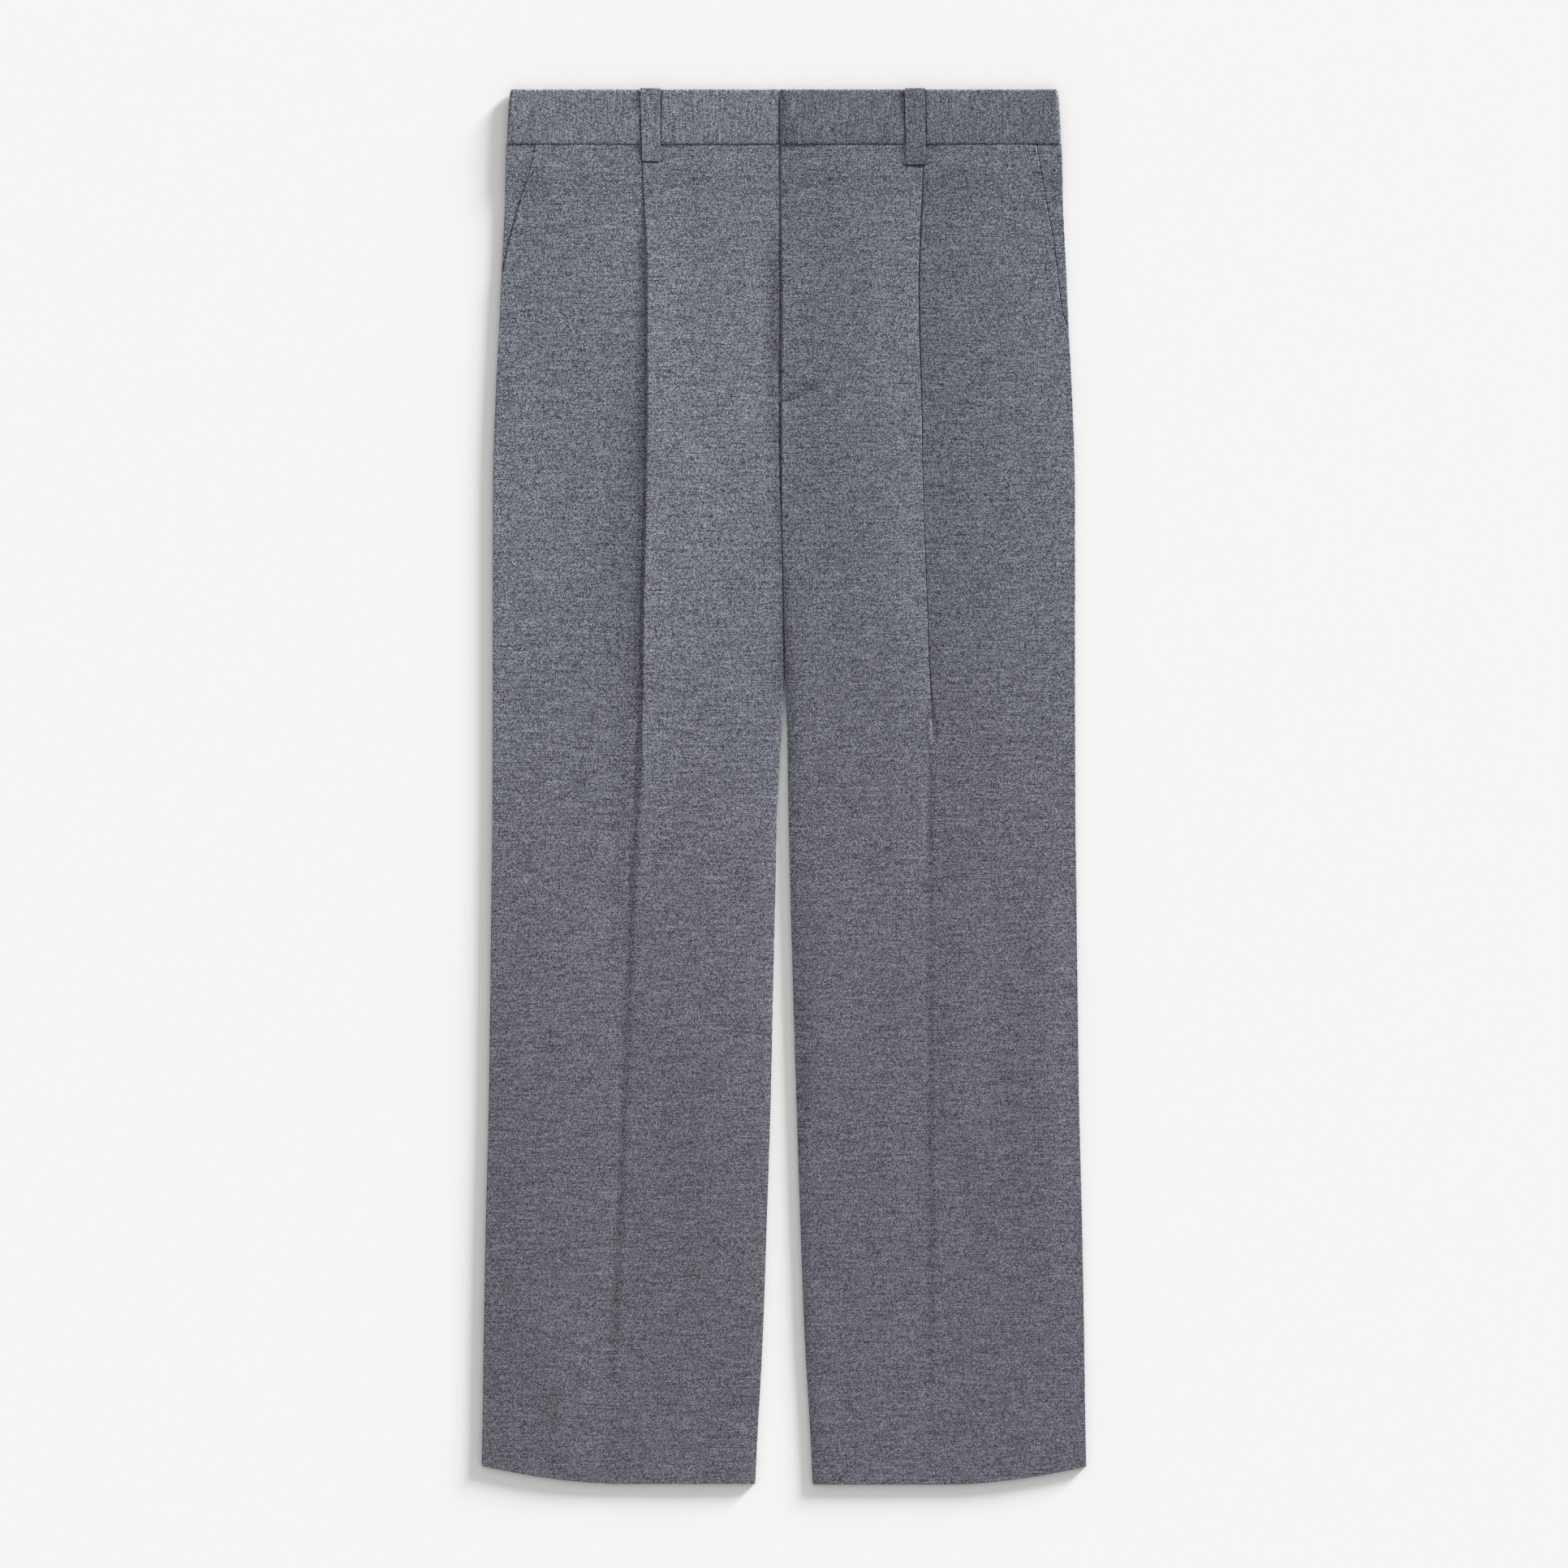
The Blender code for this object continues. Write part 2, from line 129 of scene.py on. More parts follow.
OUTLINE = table_of(
    "down side right_inner left_inner right_fold left_fold",
    (WAIST_SEAM, 208.8, -3.2, -2.9, 106.7, 104.4),
    (62, 209.5, -3.2, -2.9, 106.3, 104.2),
    (85, 209.9, -3.1, -2.8, 105.3, 103.2),
    (115, 211.3, -2.8, -2.5, 103.7, 101.8),
    (146, 212.8, -2.5, -2.2, 103.2, 100.9),
    (182, 214.4, -2.5, -2.2, 103.1, 101.4),
    (236, 217.1, -2.9, -2.6, 103, 103.3),
    (290, 218.8, -2.6, -2.3, 103.7, 104.3),
    (323, 219, -1.9, -1.6, 104.2, 105.2),
    (360, 219, -1, -0.7, 105.3, 106.6),
    (402, 219, -0.2, 0.2, 106.1, 108.1),
    (448, 219, 0, 1, 106.6, 109.8),
    (482, 219.1, -2.1, 2.4, 108.2, 111.4),
    (543, 219.3, -5.2, 3.4, 111.4, 111.9),
    (604, 220.1, -6.5, 4.8, 114.6, 111.9),
    (665, 220.8, -8, 6.5, 117, 111.9),
    (757, 222, -9.9, 9.3, 119.9, 111.9),
    (848, 224.2, -12.8, 12.2, 124, 111.9),
    (940, 225.9, -16, 15.7, 128.4, 111.9),
    (1005, 226.8, -19.5, 19.5, 131.1, 111.9),
    (1050, 227.4, -21.7, 21.7, 133.1, 111.9),
)

# The pleat and the crease below it: how far the cloth goes under, how far it is turned on each leg, the
# top of its lowest layer, the pitch of its layers and the least length of each turn. Where the turn is
# negative the crease is pressed the other way, with its outer side higher.
PLEAT = table_of(
    "down depth right_turn right_root right_ply right_run left_turn left_root left_ply left_run",
    (WAIST_SEAM, 25, 180, 2.9, 0.6, 0.8, 180, 2.1, 0.75, 0.8),
    (85, 24, 180, 3, 0.75, 0.8, 180, 1.95, 0.85, 0.8),
    (115, 23, 180, 2.9, 1.3, 0.8, 180, 1.95, 0.9, 0.8),
    (182, 20.5, 180, 2.8, 1.6, 0.8, 180, 1.95, 0.95, 0.8),
    (290, 14, 180, 2.8, 1.75, 0.8, 180, 2.35, 0.65, 0.8),
    (360, 9.5, 180, 2.8, 1.8, 0.8, 180, 2.3, 0.6, 0.8),
    (402, 6.5, 180, 2.9, 1.75, 0.8, 180, 2.3, 0.6, 0.8),
    (448, 2.6, 165, 3.3, 1.3, 0.8, 180, 2.3, 0.6, 0.8),
    (464, 1.8, 135, 3.6, 1, 1, 165, 2.5, 0.6, 0.8),
    (475, 1.5, 105, 3.7, 0.9, 1.4, 95, 3, 0.6, 1),
    (485, 1.3, 75, 3.75, 0.9, 1.9, 30, 3.5, 0.6, 1.6),
    (495, 1.3, 56, 3.75, 0.9, 2.5, -4, 3.75, 0.6, 2.4),
    (505, 1.3, 44, 3.7, 0.9, 3.2, -10, 3.85, 0.6, 3),
    (543, 1.3, 28, 3.5, 0.9, 4.6, -13, 3.9, 0.6, 3.6),
    (580, 1.3, 22, 3.5, 0.9, 5, -11, 3.95, 0.6, 4),
    (620, 1.3, 19, 3.5, 0.9, 5, -7, 4.05, 0.6, 4),
    (655, 1.3, 16, 3.6, 0.9, 4.8, -8, 4.2, 0.6, 4),
    (700, 1.3, 13, 3.7, 0.9, 4.6, -10, 4.35, 0.6, 4),
    (800, 1.3, 12, 3.7, 0.9, 4.6, -10, 4.35, 0.6, 4),
    (910, 1.3, 10, 3.8, 0.9, 4.6, -9, 4.3, 0.6, 4),
    (985, 1.3, 3, 3.9, 0.9, 4.4, -3, 4, 0.6, 4),
    (1050, 1.3, 0, 3.9, 0.9, 4.4, 0, 3.9, 0.6, 4),
)

# The side of each front beside the pleat's fold: how high its shoulder stands above the lowest layer, the
# width of the slit between them, and how far out the cloth takes to come level
SHOULDER = table_of(
    "down right left right_slit left_slit right_reach left_reach",
    (WAIST_SEAM, 0.95, 1.35, 0.8, 0.8, 40, 60),
    (85, 0.75, 1.5, 0.9, 1.3, 40, 60),
    (120, 0.1, 1.5, 1, 1.4, 40, 60),
    (182, 0.5, 1.5, 1.8, 1.3, 50, 60),
    (290, 0.8, 1.15, 2.2, 0.6, 60, 60),
    (402, 0.8, 1.15, 2.2, 0.7, 60, 50),
    (448, 0.4, 1.15, 1.8, 1.2, 30, 40),
    (464, 0, 1, 1, 2, 12, 30),
    (475, 0, 0.6, 1, 3, 12, 25),
    (485, 0, 0.2, 1, 3.5, 12, 20),
    (495, 0, 0, 1, 4, 12, 18),
    (1050, 0, 0, 1, 4, 12, 18),
)
SLIT_WALL = 0.15
# The least share of a pleat's depth that its middle layer is long
LEAST_LAYER = 0.1
FOLD_COLUMNS = (10.0, 7.5, 5.5, 4.2, 3.2, 2.4, 1.8, 1.4, 1.1, 0.85, 0.6, 0.4, 0.2)
CREST_COLUMNS = (0.6, 1.4, 2.4, 3.8, 5.6, 8.0, 11.0)
# How far the evenly spaced columns keep from the fold, the crest and the inner edge
EVEN_TO_FOLD = 13.0
EVEN_FROM_CREST = 15.4
EVEN_TO_INNER = 11.7

# Air under the cloth: how far each part of a front stands up at its middle, and how far the cloth takes
# to come level beside the pleat's crest
PUFF = table_of(
    "down right_side left_side right_centre left_centre right_crest left_crest",
    (WAIST_SEAM, 0.2, 0.3, 0.1, 0.2, 30, 40),
    (85, 0.6, 0.9, 0.3, 0.6, 30, 45),
    (150, 0.5, 1.6, 0.4, 0.6, 40, 50),
    (300, -1.3, 1.9, 0.6, 1, 65, 40),
    (450, -0.4, 1.5, 0.8, 0.5, 65, 30),
    (560, 0.3, 0.9, 1.4, 0.4, 45, 30),
    (650, 0.6, 0.8, 1.2, 0.4, 45, 30),
    (850, 0.9, 0.7, 0.8, 0.4, 40, 30),
    (1000, 0.7, 0.4, 0.3, 0.3, 30, 30),
    (1050, 0.4, 0.3, 0.2, 0.2, 30, 30),
)

# Centre front and inside leg: top of the left front's cloth, how far each front sinks towards the edge (a
# negative sink is a rise), how far in the sinking starts, and how far the edge is rolled down
CENTRE = table_of(
    "down top right_sink left_sink right_reach left_reach right_curl left_curl",
    (WAIST_SEAM, 4.4, 0, 0.1, 7, 20, 0, 0.5),
    (100, 4.6, 0, 0, 7, 20, 0, 0.5),
    (125, 4.8, -0.9, -0.4, 8, 20, 0, 0.5),
    (172, 5, -0.9, -0.4, 9, 20, 0, 0.5),
    (205, 5.1, -0.9, -0.4, 9, 20, 0, 0.5),
    (FLY_JOINED, 5.2, -1.3, -0.4, 9, 20, 0.3, 0.5),
    (262, 5.2, -1.4, -0.3, 9, 16, 0.6, 0.6),
    (290, 4.9, -0.9, -0.1, 7, 10, 0.8, 0.8),
    (330, 4.7, -0.7, 0.1, 6, 6, 1, 1),
    (360, 4.7, -0.7, 0.4, 8, 5, 1, 1),
    (385, 5, -0.9, 0.8, 10, 5, 1, 1),
    (420, 5.1, -1.2, 1.2, 10, 7, 1, 1),
    (445, 4.9, -1.1, 1.3, 10, 7.5, 1, 1),
    (462, 4.6, 0.2, 1.2, 9, 8, 1, 1),
    (520, 4.1, 0.4, 0.9, 9, 9, 1, 1),
    (600, SIDE_TOP, 0.4, 0.7, 9, 9, 1, 1),
    (1050, SIDE_TOP, 0.4, 0.7, 9, 9, 1, 1),
)

# The slit in the right front beside the left front's edge
FLY_GROOVE = table_of(
    "down depth width",
    (WAIST_SEAM, 1.2, 1),
    (95, 1.1, 0.8),
    (125, 2.3, 1.3),
    (205, 2.3, 1.4),
    (FLY_JOINED, 2.2, 1.1),
    (262, 2.1, 1.1),
    (300, 1, 0.6),
    (350, 0.9, 0.6),
    (385, 1.8, 1),
    (420, 2.5, 1),
    (448, 2.2, 1),
    (458, 0, 1),
    (LENGTH, 0, 1),
)
INNER_COLUMNS = (9.0, 7.0, 5.4, 4.2, 3.2, 2.4, 1.9, 1.5, 1.2, 0.9, 0.65, 0.4, 0.2)
UNDER_COLUMNS = (0.3, 0.6)
JOINED_ROOM = 0.1
EDGE_RADIUS = 0.35
# The least height of the upright part of an edge above its seam
LEAST_STAND = 0.05
INNER_RADIUS = {RIGHT: 0.12, LEFT: 0.3}

# Slanted pocket mouths
MOUTH = table_of(
    "down right left",
    (WAIST_SEAM, 186.9, 189.8),
    (62, 191.3, 193.2),
    (85, 199.1, 197.2),
    (113, 206.4, 202.3),
    (141.5, 212.2, 206),
    (164, 213.3, 208.6),
    (182, 214.1, 214),
)
MOUTH_END = {RIGHT: 141.5, LEFT: 182.0}
MOUTH_CURL = 0.5
MOUTH_STAND = 0.1
MOUTH_SINK_START = 60.0
MOUTH_TOP = 4.35
MOUTH_LOW_TOP = 3.95
MOUTH_DIP = 0.7
MOUTH_SLIT = 0.8
FACING_LOW_TOP = 3.4
FACING_COLUMNS = (3.0, 2.2, 1.6, 1.2, 0.9, 0.65, 0.4, 0.2, 0.0, -1.0, -4.0)
FACING_EVEN_COLUMNS = 5
# The least distance between two columns of a facing
LEAST_COLUMN = 0.04
MOUTH_STITCH = 5.5
MOUTH_GROOVE = {RIGHT: 0.15, LEFT: 0.4}
MOUTH_COLUMNS = (2.5, 4.3, 4.9, MOUTH_STITCH, 6.1, 6.7, 9.0, 13.0)

# Soft ridges and troughs: from one place to another, how wide they are on each side, and how high. The
# right width lies towards the right leg's side seam, or towards the hem where a fold runs across, and the
# left width opposite. A sharp one is pressed.
RELIEF = table_of(
    "x down x_end down_end right_width left_width height sharp",
    (58, 70, 60, 300, 46, 40, 0.6, False),
    (-112, 280, -120, 640, 42, 30, 1.2, False),
    (-74, 250, -74, 410, 25, 38, 0.6, False),
    (94, 470, 94, 640, 30, 18, 0.35, False),
    (22, 560, 26, 800, 14, 36, 0.8, False),
    (128, 590, 129, 830, 15, 30, 0.8, False),
    (198, 560, 204, 960, 40, 18, 0.8, False),
    (-170, 900, -168, 1049, 55, 40, 0.9, False),
    (-9, 239, 26, 220, 24, 4.5, -1.9, True),
    (-4, 203, -4, 239, 5, 26, -0.7, True),
    (-13.5, 95, -13, 262, 36, 10, -1, False),
    (-121, 400, -133, 700, 25, 11, -0.8, False),
    (-104, 130, -107, 465, 36, 95, 1.2, True),
    (-110.5, 54.2, -89.5, 54.2, 1.7, 2.6, -2.5, True),
    (88.5, 56.6, 110, 56.6, 1.7, 2.6, -2.5, True),
)
RELIEF_TAPER = 0.25

# Waistband: its side edge, and the top of its cloth across each half
BAND_SIDES = table_of(
    "down side crown",
    (0, 205, 0),
    (2.4, 206, 0),
    (8, 206.8, 0.1),
    (22, 207.7, 0.15),
    (34, 208.2, 0.05),
    (BAND_DEPTH, 208.3, 0),
)
BAND_TOPS = table_of(
    "across right left",
    (206, 6.05, 6.05),
    (190, 6.05, 6.05),
    (150, 6.15, 6.15),
    (118, 6.3, 6.3),
    (100, 6.4, 6.4),
    (80, 6.3, 6.35),
    (62, 6.2, 6.4),
    (36, 6.05, 6.65),
    (10, 6, 6.9),
    (-32, 6, 6.9),
)
BAND_LAP_EDGE = -3.0
BAND_UNDERLAP_EDGE = 32.0
# How round the top and the seam's edge of the front and back bands are
FRONT_BAND_EDGES = (1.1, 0.77)
BACK_BAND_EDGES = (0.77, 0.33)
BACK_BAND_LOW = WAIST_LIFT
BAND_SEAM_HEIGHT = 3.725
BAND_DIP = 2.3
BAND_SLIT = 1.5
BAND_END_SINK = 1.1
BAND_END_REACH = 4.5
BAND_END_CURL = 0.5
BAND_END_RADIUS = 0.4
BAND_CROWN_REACH = 12.0
BAND_EVEN_COLUMNS = 18
BAND_EVEN_TO_INNER = 10.8
BACK_BAND_COLUMNS = 20
BAND_LEVELS = sorted({
    0.0, 0.15, 0.4, 0.7, 1.1, 2.4, *range(4, 37, 4),
    BAND_DEPTH - 0.8, BAND_DEPTH - 0.4, BAND_DEPTH - 0.15, BAND_DEPTH,
})
LOOP_GROOVE = 1.25
LOOP_GROOVE_WIDTH = 1.2
LOOP_EVEN_TO_GROOVE = 3.0
LOOP_GROOVE_COLUMNS = (2.0, 1.3, 1.0, 0.75, 0.5, 0.25, 0.0, -0.4, -0.8, -1.5)
BAND_UNDER_COLUMNS = (-0.5, -4.0, -12.0, -20.0)

# Belt loops
LOOP_ROWS = table_of(
    "node top bottom top_width bottom_width end",
    ("front_loop_right", -100.5, -100, 15.3, 13.6, 53.8),
    ("front_loop_left", 98.5, 99.3, 15.4, 14.8, 56.2),
)
FRONT_LOOPS = dict(zip((RIGHT, LEFT), LOOP_ROWS))
LOOP_PLY = 0.62
# Height of the middle of the strip where it is turned under, at a loop's upper and lower end
LOOP_TOP_UNDER = 6.75
LOOP_END_UNDER = 5.2
LOOP_TOP_SINK = 0.1
LOOP_COLUMNS = (-1.0, -0.96, -0.9, -0.5, 0.0, 0.5, 0.9, 0.96, 1.0)
LOOP_TUCK = 9.0
LOOP_FLAT = 8.0
# Where a front loop lies on the band and how high. Then how it comes down to its lower end: how far above
# the end, in flats, and the share of the height that is left.
LOOP_SAG_HEIGHT = 6.85
LOOP_SAG = ((14.0, LOOP_SAG_HEIGHT), (25.0, 6.8), (36.0, LOOP_SAG_HEIGHT), (BAND_DEPTH, 6.7))
LOOP_DROP = ((1.0, 0.35), (0.5, 0.08))
LOOP_EDGE_SHARE = 0.2
LOOP_EDGE_STEPS = 3
LOOP_EDGE_TURN = math.radians(50)
BACK_LOOPS = ["back_loop_right", "back_loop_centre", "back_loop_left"]
BACK_LOOP_ROWS = 12
BACK_LOOP_COLUMNS = 6

# Fly stitching: across from the centre line and down, from the bar tack outwards
FLY_STITCH = (
    (3.4, 233.2), (6.7, 232.2), (10.5, 230.9), (14.0, 229.4), (17.5, 227.0), (20.6, 224.2), (22.4, 220.6)
)
BAR_TACKS = table_of(
    "across down length slant piece",
    (0.1, 233.6, 4, 0, "left_front_cloth"),
    (190, 61.8, 5.5, 0, "left_front_cloth"),
    (-189.3, 62.4, 4.5, 60, "right_front_cloth"),
)
# Width of the threads, half of what shows of a stitch (as a share of its length on the fly, and in mm on a
# tack), the pitch of a tack's stitches, and how far up a stitch sits, as a share of its width
FLY_THREAD = 0.8
STITCH_HALF = 0.42
TACK_THREAD = 0.36
TACK_HALF = 0.6
TACK_PITCH = 0.45
STITCH_SIT = 0.1
STITCH_RINGS = 5

# Photo frame: its width in pixels, the size of one pixel on the surface, and where its middle lies
PHOTO_PIXELS = 1932
PIXEL = 0.61082
PHOTO_MIDDLE = Vector((0.0, 2.14, 0.0))

# Painted light and shade that make a piece lighter or darker. A leg's changes from the waist's to the hem's
# between two levels, a painted shade that darkens it towards the hem.
PAINTED_SHADE_START = 220.0
PAINTED_SHADE_END = 920.0
LEG_PAINTED_LIGHT_AND_SHADE = {
    RIGHT: ((1.12, 1.13, 1.135), (0.915, 0.878, 0.868)),
    LEFT: ((0.99, 1.0, 1.015), (0.933, 0.887, 0.919)),
}
# Painted light and shade on the band: one half painted lighter than the other.
BAND_PAINTED_LIGHT_AND_SHADE = {RIGHT: (1.23, 1.24, 1.245), LEFT: (0.96, 0.97, 0.985)}

# Textures: repeats a metre along and across the weft, fineness of the detail, and weight in the mix
Texture = namedtuple("Texture", "scale detail weight")
STREAKS = Texture((50.0, 1500.0, 1.0), 2.0, 1.3)
LONG_STREAKS = Texture((20.0, 420.0, 1.0), 1.0, 0.4)
FLOATS = Texture((1850.0, 2050.0, 1.0), 0.0, 1.8)
TWIST = Texture((3000.0, 3000.0, 3000.0), 1.0, 1.0)
NOISE_ROUGHNESS = 0.6
# The power between tones that look evenly spread and the light they give
FIBRE_GAMMA = 2.2
# How light the cloth is on the whole, from the dark yarn at 0 to the light yarn at 1
MIDDLE_TONE = 0.433
# How strongly the fibres stand out on the band, beside 1 on the legs, and how much less at the hem
BAND_CONTRAST = 0.85
HEM_CALM = 0.24
SUITING_LOOK = {
    "Roughness": 0.85, "Specular IOR Level": 0.25, "Sheen Weight": 0.08, "Sheen Roughness": 0.5
}
WEAVE_RELIEF = {"Strength": 0.08, "Distance": 0.0002}
THREAD_ROUGHNESS = 0.6
THREAD_SHADES = (0.6, 1.5)

# Floor: half its width and how far it lies below the cloth, in metres
FLOOR_HALF = 6.0
FLOOR_DROP = 0.0003
FLOOR_ROUGHNESS = 0.9
# Height in metres from which stitches look down for the cloth
ABOVE_ALL = 0.05

ROLL_STEPS = 6
SHARP_TURN = math.radians(28)
FOLD_STEPS = 8
SIDE_COLUMNS = 15
CENTRE_COLUMNS = 16
ROW_STEP = 8.0
END_ROWS = (0.15, 0.3, 0.5, 0.7, 0.9, 1.15, 1.4, 2.2, 4.0)
# Close rows of the fronts: where they start and end, and in how many steps. Those of a loop's end are
# measured from it.
FLY_ROWS = (FLY_END - 12.0, FLY_JOINED + 2.0, 16)
PLEAT_END_ROWS = (452.0, 500.0, 12)
MOUTH_ROWS = 6
LOOP_END_ROWS = (-1.6, 2.8, 11)


class TrouserCloth(bpy.types.PropertyGroup):
    """Cloth, thread and colours."""

    wall: FloatProperty(
        name="Cloth", description="Thickness of the suiting that shows, in mm",
        default=0.5, min=0.3, max=1.1,
    )
    band_wall: FloatProperty(
        name="Band", description="Thickness of the waistband that shows, in mm",
        default=0.6, min=0.4, max=1.5,
    )
    loop_wall: FloatProperty(
        name="Loop", description="Thickness of a belt loop's folded strip, in mm",
        default=0.55, min=0.4, max=1.1,
    )
    dark_yarn: FloatVectorProperty(
        name="Dark yarn", description="Darkest fibres of the melange", subtype="COLOR",
        default=(0.03, 0.032, 0.04), min=0.0, max=1.0,
    )
    light_yarn: FloatVectorProperty(
        name="Light yarn", description="Lightest fibres of the melange", subtype="COLOR",
        default=(0.335, 0.352, 0.41), min=0.0, max=1.0,
    )
    thread: FloatVectorProperty(
        name="Thread", description="Sewing thread of the fly and the bar tacks", subtype="COLOR",
        default=(0.025, 0.028, 0.036), min=0.0, max=1.0,
    )
    stitch: FloatProperty(
        name="Stitch", description="Length of one stitch of the fly, in mm", default=2.2, min=1.0, max=5.0
    )
    stitch_steps: IntProperty(
        name="Stitch sides", description="Sides of one stitch", default=8, min=5, max=12
    )


class TrouserStage(bpy.types.PropertyGroup):
    """Floor, light and camera."""

    floor_colour: FloatVectorProperty(
        name="Floor", description="Colour of the plain floor", subtype="COLOR",
        default=(0.938, 0.928, 0.912), min=0.0, max=1.0,
    )
    lens: FloatProperty(
        name="Lens", description="Focal length of the camera, in mm", default=400.0, min=50.0
    )
    key: FloatProperty(
        name="Key light", description="Strength of the light from the upper right", default=6.25
    )
    key_height: FloatProperty(
        name="Key height", description="How high the key light stands",
        subtype="ANGLE", default=math.radians(11.5),
    )
    key_way: FloatProperty(
        name="Key way", description="Where the key light comes from, round from the wearer's left",
        subtype="ANGLE", default=math.radians(45),
    )
    key_spread: FloatProperty(
        name="Key spread", description="Softness of the key light",
        subtype="ANGLE", default=math.radians(14),
    )
    fill: FloatProperty(
        name="Fill light", description="Strength of the even light all round", default=0.585
    )


def smooth(share):
    """A soft step from 0 to 1."""
    share = min(max(share, 0.0), 1.0)
    return share * share * (3 - 2 * share)


def between(low, high, share):
    """The value at a share of the way from one to another."""
    return low + (high - low) * share


def slope_at(keys, values, index):
    """The slope of a smooth line at a row of a table: level at a peak, and straight at both ends."""
    steps = [
        (values[i + 1] - values[i]) / (keys[i + 1] - keys[i])
        for i in (index - 1, index)
        if 0 <= i < len(keys) - 1
    ]
    if len(steps) == 1:
        return steps[0]
    before, after = steps
    return 2 * before * after / (before + after) if before * after > 0 else 0.0


def look_up(table, place, column):
    """A column of a table at any value of its first one, on a smooth line through the rows."""
    rows = sorted(table)
    keys = [row[0] for row in rows]
    values = [getattr(row, column) for row in rows]
    place = min(max(place, keys[0]), keys[-1])
    index = max(i for i, key in enumerate(keys[:-1]) if key <= place)
    span = keys[index + 1] - keys[index]
    t = (place - keys[index]) / span
    return (
        values[index] * (1 + 2 * t) * (1 - t) ** 2
        + span * slope_at(keys, values, index) * t * (1 - t) ** 2
        + values[index + 1] * t * t * (3 - 2 * t)
        + span * slope_at(keys, values, index + 1) * t * t * (t - 1)
    )


def side_name(side):
    """The word for a side in the names of columns and pieces."""
    return "left" if side == LEFT else "right"


def measures(table, side, down):
    """The columns of a table at a level: those that both sides share, and one side's own."""
    columns = table[0]._fields[1:]
    return [look_up(table, down, column) for column in columns if not column.startswith(side_name(-side))]


def relief(x, down):
    """How much higher or lower the cloth lies at a place because of its soft folds."""
    total = 0.0
    for fold in RELIEF:
        run = Vector((fold.x_end - fold.x, fold.down_end - fold.down))
        out = Vector((x - fold.x, down - fold.down))
        share = out.dot(run) / run.length_squared
        if not 0 < share < 1:
            continue
        away = (out.x * run.y - out.y * run.x) / run.length
        width = fold.left_width if away > 0 else fold.right_width
        close = 1 - abs(away) / width
        if close <= 0:
            continue
        shape = close * close if fold.sharp else smooth(close)
        total += fold.height * shape * smooth(share / RELIEF_TAPER) * smooth((1 - share) / RELIEF_TAPER)
    return total


def lift(down):
    """The waist lies on the back belt loops, and the cloth sinks to the surface below them."""
    return WAIST_LIFT * (1 - smooth((down - LIFT_END) / (LIFT_GONE - LIFT_END)))


def length_wise(down):
    """Y of a level."""
    return WAIST_TOP - down


def seam_dip(down, dip):
    """How far the cloth is turned in beside the waist seam."""
    return dip * (1 - smooth((down - WAIST_SEAM - SEAM_FLAT) / SEAM_DITCH_WIDTH))


def hem_level(side, down, share):
    """The level of a point near the hem, which rises towards the side seam."""
    if down <= HEM_START:
        return down
    rise = HEM_SHORT[side] + HEM_RISE * max(1 - share / HEM_RISE_SHARE, 0.0) ** HEM_POWER
    return between(HEM_START, LENGTH - rise, (down - HEM_START) / (LENGTH - HEM_START))


def edge_drop(distance, radius):
    """How far a rounded edge has come down at a distance from its end."""
    inside = radius - min(max(distance, 0.0), radius)
    return radius - math.sqrt(radius * radius - inside * inside)


def arc(points, heading, turn, length, steps):
    """Go on from the last point along an arc, and return the new heading."""
    half = turn / steps / 2
    chord = length / steps * (math.sin(half) / half if half else 1.0)
    for step in range(steps):
        middle = heading + turn * (step + 0.5) / steps
        along, height = points[-1]
        points.append((along + chord * math.cos(middle), height + chord * math.sin(middle)))
    return heading + turn


def rolled_edge(extent, inward, height, up, curl, radius, wall, stand=0.0):
    """From the tip of an edge to the flat cloth beside it, which lies inward of the tip."""
    turn = curl * math.pi / 2
    half = turn / ROLL_STEPS / 2
    chord = radius * math.pi / 2 / ROLL_STEPS * (math.tan(half) / half if half else 1.0)
    path = [(0.0, 0.0), (stand * math.cos(turn), stand * math.sin(turn))]
    for step in range(ROLL_STEPS + 1):
        heading = turn * (1 - step / ROLL_STEPS)
        length = chord / 2 if step in (0, ROLL_STEPS) else chord
        along, climb = path[-1]
        path.append((along + length * math.cos(heading), climb + length * math.sin(heading)))
    tip = extent + inward * wall / 2 * math.sin(turn)
    rise = path[-1][1]
    return [(tip + inward * along, height + up * (climb - rise)) for along, climb in path]


def seam_edge(extent, inward, height, up, curl, wall, radius=EDGE_RADIUS):
    """An edge that is pressed over and stands down to the seam at half height."""
    drop = up * (height - SEAM_HEIGHT) - SOLID_GAP / 2
    radius = min(radius, drop)
    stand = max((drop - radius) * curl, LEAST_STAND)
    return rolled_edge(extent, inward, height, up, curl, radius, wall, stand)


def pleat_fold(fold, side, down, wall):
    """The turned cloth of a pleat, from its lowest layer to the top one. Its fold faces outwards."""
    depth, degrees, root, ply, run = measures(PLEAT, side, down)
    turn = math.radians(degrees)
    root -= wall / 2
    radius = ply / 2
    length = max(radius * math.pi * math.sqrt(abs(turn) / math.pi), run)
    path = [(0.0, 0.0)]
    heading = arc(path, 0.0, turn, length, FOLD_STEPS)
    reach = radius + wall / 2
    straight = (depth - reach) * max(-math.cos(turn), LEAST_LAYER)
    along, height = path[-1]
    path.append((along + straight * math.cos(heading), height + straight * math.sin(heading)))
    middle = (along + path[-1][0]) / 2
    arc(path, heading, -turn, length, FOLD_STEPS)
    place = fold - (depth + reach) / 2
    return [(place - (along - middle), root + height) for along, height in path]


def loop_place(loop, down):
    """The middle of a front belt loop and half its width at a level."""
    share = min(max(down / loop.end, 0.0), 1.0)
    return between(loop.top, loop.bottom, share), between(loop.top_width, loop.bottom_width, share) / 2


def mouth_sink(side, down):
    """How far a pocket mouth has sunk, from 0 at the waist to 1 at its lower end."""
    return smooth((down - MOUTH_SINK_START) / (MOUTH_END[side] - MOUTH_SINK_START))


